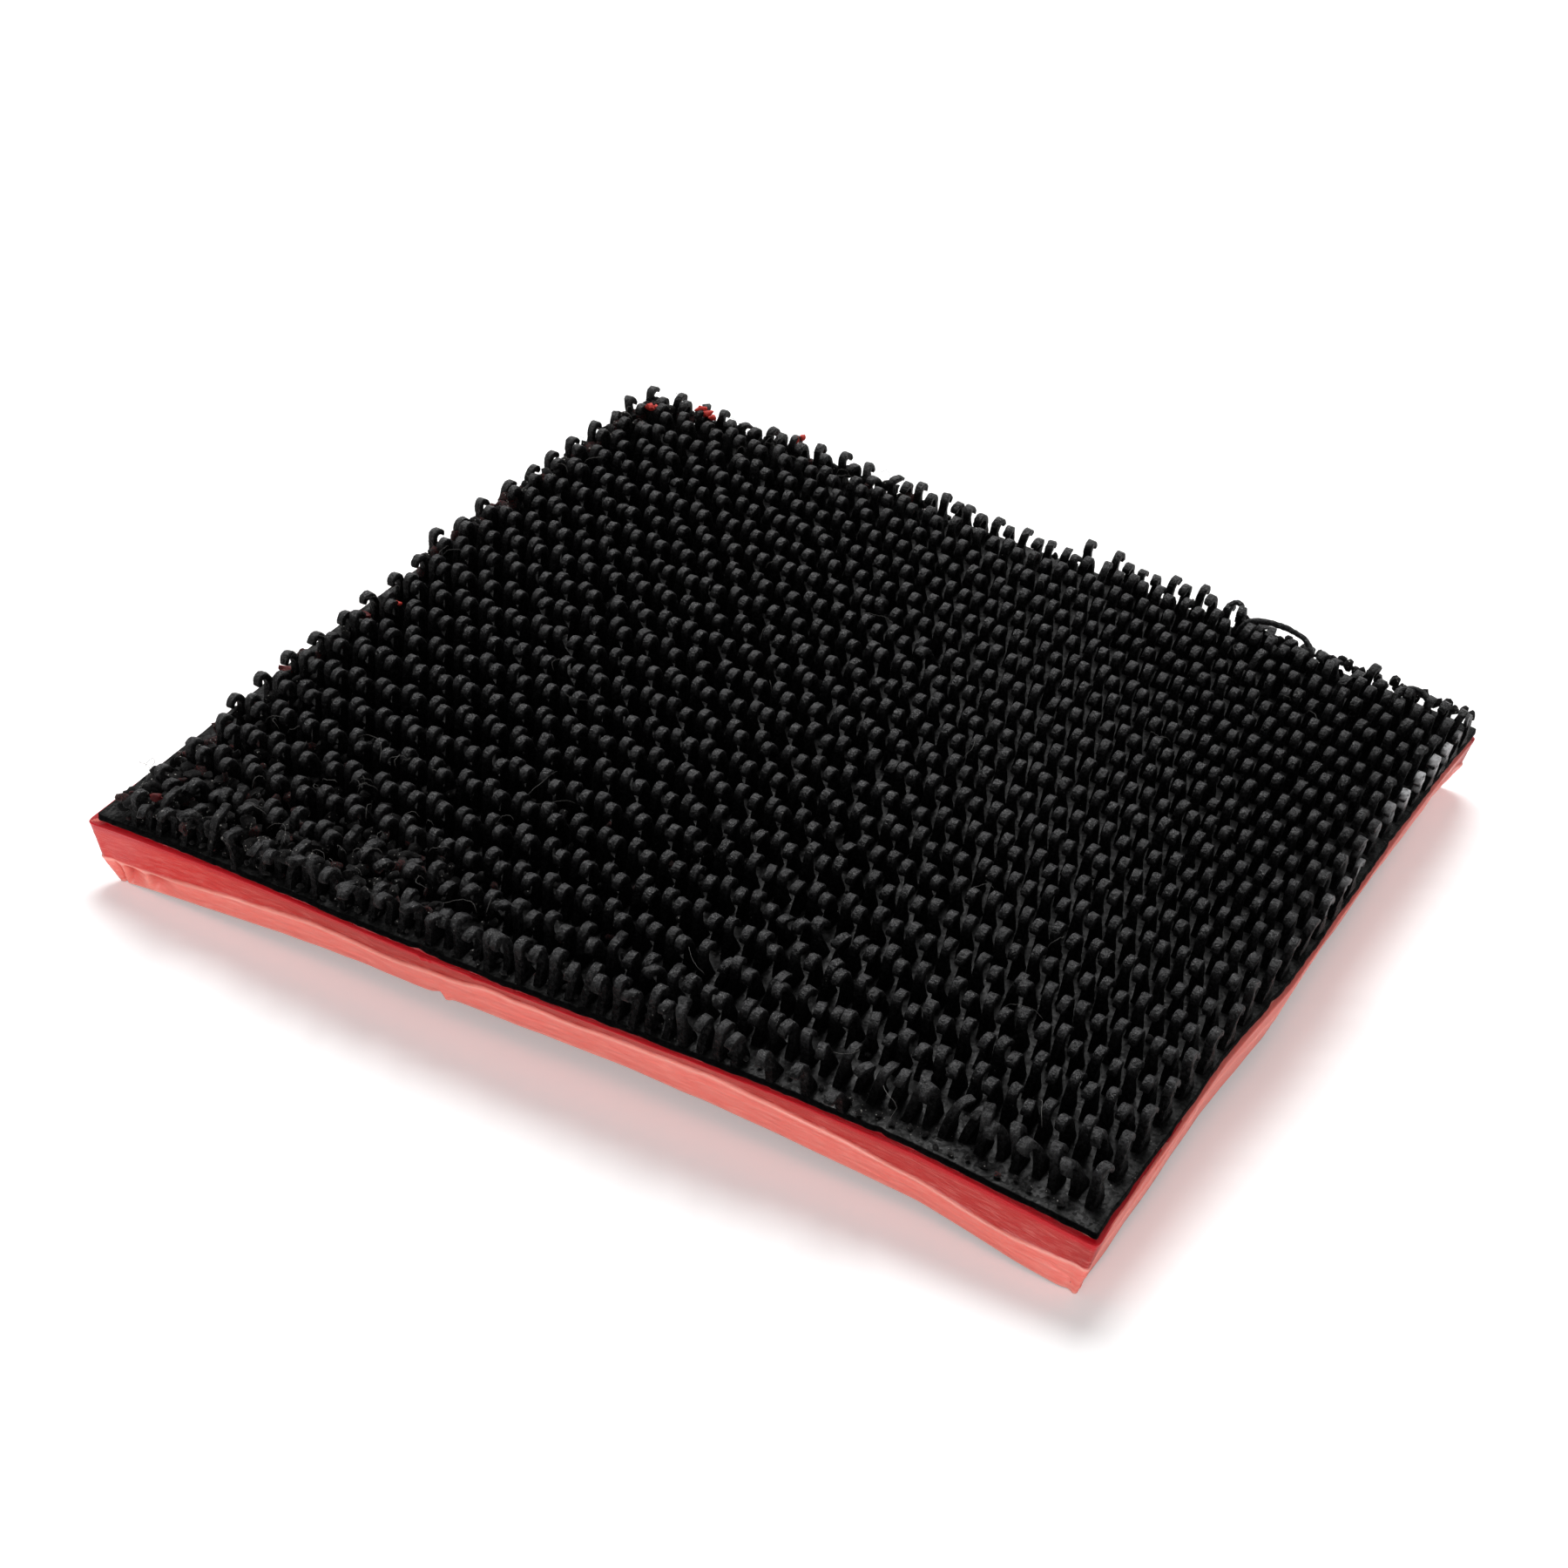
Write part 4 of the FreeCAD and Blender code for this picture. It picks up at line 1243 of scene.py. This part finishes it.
def build_rubber(material):
    top = walk.along(outline([(rows[:, 0], rows[:, 1]) for rows in RUBBER_SIDES]), 0.16)
    bottom = walk.along(outline([(rows[:, 0], -rows[:, 2]) for rows in RUBBER_SIDES]), 0.22)
    wall = rubber_wall(top, bottom)
    # tangential drift between the two outlines, at the mitred corners
    drift = (bottom - top) + walk.out * wall.overhang[:, None]
    up_count, low_count = ((11, 22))
    rows = [("lip", 0.0), ("lip", 1.0)]
    rows += [("up", (i + 1) / up_count) for i in range(up_count)]
    rows += [("step", 0.35), ("step", 0.7), ("step", 1.0)]
    rows += [("low", (i + 1) / low_count) for i in range(low_count)]
    rows += [("foot", 0.5), ("foot", 1.0)]
    rings = []
    values = {"vpos": [], "low": [], "rim": [], "spos": []}
    for kind, t in rows:
        down, inset, low, rim = wall_row(wall, kind, t, edge_t=1.2 / low_count)
        push = cut_waves(kind, t, down)
        if kind in ("low", "step", "foot"):
            marks, rim = lower_marks(wall, down, rim)
            push = push + marks
        else:
            for at, width, out in PUSHED_OUT:
                crumb = out * bump(walk.share, at, width) * bump(down, 0.06, 0.05)
                push = push + np.where(wall.is_front, crumb, 0)
        xy = top - walk.out * (inset - push)[:, None] + drift * np.clip(down, 0, 1)[:, None]
        ring = on_sheet(xy, RUBBER_TOP + RUBBER_T * down)
        if kind == "foot":
            ring[:, 2] += 0.012 * noise1(walk.dist / 0.9, 66)
        rings.append(ring)
        for key, row in zip(values, (down, low, np.clip(rim, 0, 1), walk.dist)):
            values[key].append(row)

    def underside(x, y, boundary):
        inward = np.clip(edge_distance(x, y, boundary[::3]) / 0.5, 0, 1)
        return inward * (0.020 * noise2(x / 3.0, y / 3.0, 71)
                         + 0.008 * noise2(x / 0.8, y / 0.8, 72) + 0.012)

    caps = ((0.9, RUBBER_TOP, None), (0.42, RUBBER_BOTTOM, underside))
    rubber = slab("rubber_pad_visual", rings, caps, values, material, sharp_deg=48, seed=81,
                  cap_values={"vpos": (0.0, 0.9), "low": (0.0, 1.0)})
    stand_in("rubber_pad")
    return rubber


# ---- Lint, dust and crumbs caught in the hooks ----

LINT = [  # (x, y, length)
    (-6.7, -10.1, 2.6), (-6.2, -9.9, 1.8), (-12.0, -10.5, 2.2), (-4.1, -15.0, 1.6),
    (-3.9, -14.8, 1.2), (-13.0, -15.0, 1.6), (-14.5, -14.2, 1.2), (2.5, -12.9, 1.5),
    (9.2, -13.9, 1.3), (11.5, -15.9, 1.2), (-9.0, -4.0, 1.5), (4.0, 2.0, 1.6),
    (13.0, -9.5, 1.4), (-2.0, 6.5, 1.4), (15.2, -13.6, 1.1)]
LINT_AREAS = [  # (count, x range, y range, length range)
    (14, (-18, 16), (-14, 15), (0.4, 1.1)), (34, (-19.5, -6), (-15.6, -9), (0.3, 1.0)),
    (22, (-19.5, -18.4), (-10, 16), (0.4, 1.0)), (16, (-19, -8), (14.5, 16.2), (0.4, 1.0))]
LINT_POINTS = 22


def build_lint(material):
    rng = np.random.default_rng(9)
    fibres = list(LINT)
    for count, *ranges in LINT_AREAS:
        fibres += [tuple(rng.uniform(*span) for span in ranges) for _ in range(count)]
    parts = []
    count = LINT_POINTS
    for x, y, length in fibres:
        heading = rng.uniform(0, 2 * math.pi)
        turn = rng.normal(0, 0.9)
        height = rng.uniform(-0.12, 0.02)
        path = [(x, y, height)]
        for _ in range(count - 1):
            heading += turn / count * 2 + rng.normal(0, 0.10)
            x = min(max(x + math.cos(heading) * length / count, -19.7), 16.6)
            y = min(max(y + math.sin(heading) * length / count, -15.3), 16.2)
            height += rng.normal(0, 0.012)
            path.append((x, y, height))
        path = np.array(path)
        path[:, 2] += drop(path[:, 0], path[:, 1]) - 0.25 * np.linspace(-1, 1, count) ** 4
        from_end = np.minimum(np.arange(count), np.arange(count)[::-1])
        radii = (0.0045 if length > 1.25 else 0.006) * np.clip(from_end / 2.0 + 0.4, 0, 1)
        parts.append((tube(path, radii, sides=5, up=(0, 0, 1.0)),))
    join_parts("lint_fibres", parts, material, sharp_deg=None)


def build_dust(material):
    """Dust packed between the outer hooks, mostly along the left and back edges."""
    rng = np.random.default_rng(23)
    draw = rng.uniform
    parts = []

    def add(x, y, depth, size, red_chance=0.0, sink=0.0):
        """One lump; depth and the three of size are ranges to draw from."""
        depth = draw(*depth) + sink
        size = [draw(*span) for span in size]
        red = red_chance > 0 and rng.random() < red_chance
        parts.append((lump((x, y, float(drop(x, y)) - depth), size, rng), float(red)))

    # left edge, its back half and then its front half
    for y in np.arange(1.2, 15.9, 0.30):
        for _ in range(2):
            add(-19.62 + draw(-0.16, 0.40), y + draw(-0.15, 0.15), depth=(0.62, 0.95),
                size=((0.16, 0.26), (0.20, 0.34), (0.20, 0.30)), red_chance=0.3)
    for y in np.arange(-15.4, 1.2, 0.42):
        add(-19.30 + draw(-0.25, 0.45), y + draw(-0.2, 0.2), depth=(0.85, 1.15),
            size=((0.14, 0.26), (0.18, 0.32), (0.12, 0.24)), red_chance=0.45)
    # back edge: left part, then right part low down, then its right end higher up
    for x in np.arange(-19.4, -6.0, 0.36):
        add(x, 16.2 + 0.02 * (x + 19) + draw(-0.5, 0.0), depth=(0.65, 1.05),
            size=((0.16, 0.32), (0.14, 0.24), (0.16, 0.28)), red_chance=0.25)
    for x in np.arange(-5.5, 16.0, 0.7):
        add(x, edge_at(BACK_EDGE, x) - draw(0.25, 0.7), depth=(0.9, 1.2),
            size=((0.12, 0.26), (0.10, 0.2), (0.10, 0.2)))
    for x in np.arange(7.0, 16.4, 0.30):
        add(x, edge_at(BACK_EDGE, x) - draw(0.30, 0.65), depth=(0.62, 0.92),
            size=((0.16, 0.26), (0.12, 0.2), (0.16, 0.28)))
    # front edge
    for x in np.arange(-18.8, 17.0, 0.5):
        add(x, edge_at(FRONT_EDGE, x) + draw(0.15, 0.6), depth=(1.14, 1.27),
            size=((0.07, 0.17), (0.06, 0.12), (0.05, 0.11)), red_chance=0.1)
    # thickest towards the left front corner, thinning out to the right and to the back
    for _ in range(260):
        x, y = -19.0 + 20 * rng.random() ** 1.5, -15.3 + 9.0 * rng.random() ** 1.6
        thick = hill(x, y, centre=(-19.0, -15.3), width=(16.0, 7.0))
        add(x, y, depth=(0.75, 1.25), sink=0.2 * (1 - thick), red_chance=0.12,
            size=((0.08, 0.16 + 0.18 * thick), (0.10, 0.18 + 0.22 * thick),
                  (0.06, 0.12 + 0.14 * thick)))
    for _ in range(230):
        x, y = draw(-19.4, -3.5), -15.5 + 4.2 * rng.random() ** 1.4
        thick = (1 - ease(x, -12.0, -3.0)) * (1 - ease(y, -14.0, -11.2))
        add(x, y, depth=(0.62, 1.05), sink=0.25 * (1 - thick), red_chance=0.15,
            size=((0.10, 0.18 + 0.14 * thick), (0.12, 0.20 + 0.18 * thick),
                  (0.08, 0.16 + 0.16 * thick)))
    # scattered over the whole face
    for _ in range(90):
        add(draw(-18.5, 16.2), draw(-14.6, 16), depth=(0.9, 1.3),
            size=((0.05, 0.14), (0.05, 0.14), (0.04, 0.10)))
    join_parts("packed_dust", parts, material, ["red"])


CRUMBS = [  # (x, y, depth below the crowns, three radii, dark)
    (-18.92, 14.55, 0.14, 0.20, 0.18, 0.15, 0.0), (-18.80, 14.80, 0.22, 0.15, 0.12, 0.12, 0.0),
    (-17.10, 15.70, 0.15, 0.24, 0.16, 0.15, 0.0), (-16.72, 15.62, 0.17, 0.22, 0.18, 0.14, 0.0),
    (-16.40, 15.50, 0.20, 0.17, 0.14, 0.12, 0.0), (-12.62, 16.02, 0.14, 0.16, 0.17, 0.15, 0.0),
    (-12.48, 16.32, 0.12, 0.14, 0.16, 0.14, 0.0), (-17.72, -15.30, 0.30, 0.22, 0.15, 0.13, 1.0),
    (-17.95, -2.60, 0.25, 0.12, 0.10, 0.09, 0.0), (-18.10, -5.60, 0.30, 0.20, 0.16, 0.12, 1.0),
    (-18.9, -3.4, 0.6, 0.18, 0.24, 0.14, 1.0), (-19.4, -7.0, 1.0, 0.16, 0.40, 0.16, 1.0),
    (-19.3, -9.2, 1.0, 0.15, 0.30, 0.14, 1.0), (-5.2, 11.0, 0.7, 0.10, 0.08, 0.06, 1.0),
    (-11.3, -12.2, 0.8, 0.10, 0.08, 0.07, 1.0), (3.0, 16.9, 0.9, 0.14, 0.09, 0.08, 1.0)]


def build_crumbs(material):
    """Crumbs of red rubber caught among the hooks."""
    rng = np.random.default_rng(31)
    parts = [(lump((x, y, float(drop(x, y)) - depth), size, rng, rough=0.42), dark)
             for x, y, depth, *size, dark in CRUMBS]
    join_parts("rubber_crumbs", parts, material, ["dark"])


build_film(film_material())
hook_plastic = hook_material()
build_hooks(hook_plastic)
build_strands(hook_plastic)
build_dust(dust_material())
build_crumbs(crumb_material())
glue = build_glue(glue_material())
rubber = build_rubber(rubber_material())
build_lint(lint_material())


# ---- Floor, world, lights and camera; in metres, in the row frame ----

scene = bpy.context.scene
FLOOR_HALF, FLOOR_POINTS = 1.5, 41


def floor_material():
    """A bright table: the camera sees its shadows lifted, and sees through it from below."""
    mat = Nodes("floor", textured=False)
    mat.finish(color=srgb(243, 243, 243), rough=0.9, spec=0.1)
    light_path, geometry, clear, see_through = (
        mat.new(kind) for kind in ("LightPath", "NewGeometry", "BsdfTransparent", "MixShader"))
    shadow_lift = 0.30
    mat.put(mat.shader.inputs["Emission Color"], (0.97, 1.0, 1.0, 1.0))
    mat.put(mat.shader.inputs["Emission Strength"],
            mat.mul(light_path.outputs["Is Camera Ray"], shadow_lift))
    mat.put(see_through.inputs[0], geometry.outputs["Backfacing"])
    mat.put(see_through.inputs[1], mat.shader.outputs[0])
    mat.put(see_through.inputs[2], clear.outputs[0])
    mat.put(mat.output.inputs["Surface"], see_through.outputs[0])
    return mat.material


def build_floor():
    mesh = bpy.data.meshes.new("floor")
    count = FLOOR_POINTS
    line = [float(x) for x in np.linspace(-FLOOR_HALF, FLOOR_HALF, count)]
    corners = [j * count + i for j in range(count - 1) for i in range(count - 1)]
    mesh.from_pydata([(x, y, 0.0) for y in line for x in line], [],
                     [(k, k + 1, k + count + 1, k + count) for k in corners])
    mesh.materials.append(floor_material())
    obj = bpy.data.objects.new("floor", mesh)
    scene.collection.objects.link(obj)
    return obj


def build_world():
    """Dim white light all round, behind a light grey backdrop that only the camera sees."""
    world = bpy.data.worlds.new("studio")
    scene.world = world
    world.use_nodes = True
    nodes, links = world.node_tree.nodes, world.node_tree.links
    light = nodes["Background"]
    light.inputs["Color"].default_value = (1.0, 1.0, 1.0, 1.0)
    light.inputs["Strength"].default_value = 0.27
    backdrop = nodes.new("ShaderNodeBackground")
    light_path = nodes.new("ShaderNodeLightPath")
    blend = nodes.new("ShaderNodeMixShader")
    backdrop.inputs["Color"].default_value = (0.93, 0.93, 0.93, 1.0)
    backdrop.inputs["Strength"].default_value = 0.92
    links.new(light_path.outputs["Is Camera Ray"], blend.inputs["Fac"])
    links.new(light.outputs[0], blend.inputs[1])
    links.new(backdrop.outputs[0], blend.inputs[2])
    links.new(blend.outputs[0], nodes["World Output"].inputs["Surface"])


def area(name, place, target, size, power):
    light = bpy.data.lights.new(name, "AREA")
    light.shape = "RECTANGLE"
    light.size, light.size_y = size
    light.energy = power
    obj = bpy.data.objects.new(name, light)
    obj.location = place
    direction = Vector(target) - Vector(place)
    obj.rotation_euler = direction.to_track_quat("-Z", "Y").to_euler()
    scene.collection.objects.link(obj)
    return obj


def build_camera():
    data = bpy.data.cameras.new("camera")
    data.sensor_fit = "HORIZONTAL"
    data.sensor_width = 36.0
    data.lens = 57.462
    data.clip_start, data.clip_end = 0.005, 10.0
    obj = bpy.data.objects.new("camera", data)
    # the camera's right, up and backward directions and its place, in the pad's plan
    axes = ((0.83219522, 0.55167957, 0.05568446), (-0.36083597, 0.46257105, 0.80983049),
            (0.42100892, -0.69403002, 0.58401525))
    place = (35.36833331, -62.12539086, 48.40082616)
    to_row = Matrix([list(row) for row in TO_ROW] + [[0, 0, 0, 1]])
    rotation = to_row.to_3x3()
    matrix = Matrix([rotation @ Vector(axis) for axis in axes]).transposed().to_4x4()
    matrix.translation = (to_row @ Vector(place)) * MM
    obj.matrix_world = matrix
    scene.collection.objects.link(obj)
    scene.camera = obj


floor = build_floor()
build_world()
main = area("main", place=(-0.27, 0.46, 0.86), target=(0, 0, 0), size=(0.50, 0.50), power=8.6)
key = area("key", place=(-0.34, 0.46, 0.40), target=(0, 0, 0.005), size=(0.50, 0.50), power=0.7)
low_front = area("low_front", place=(-0.06, -0.42, 0.045), target=(0, 0, 0.002),
                 size=(0.30, 0.08), power=0.80)
low_right = area("low_right", place=(0.42, -0.12, 0.018), target=(0, 0, 0.002),
                 size=(0.25, 0.035), power=0.52)
# the low lights stand for the bounce off the table: they reach the cut sides, not the hooks
cut_sides = bpy.data.collections.new("cut_sides")
for obj in (rubber, glue, floor):
    cut_sides.objects.link(obj)
for light in (low_front, low_right):
    light.light_linking.receiver_collection = cut_sides
build_camera()
scene.view_settings.view_transform = "Standard"
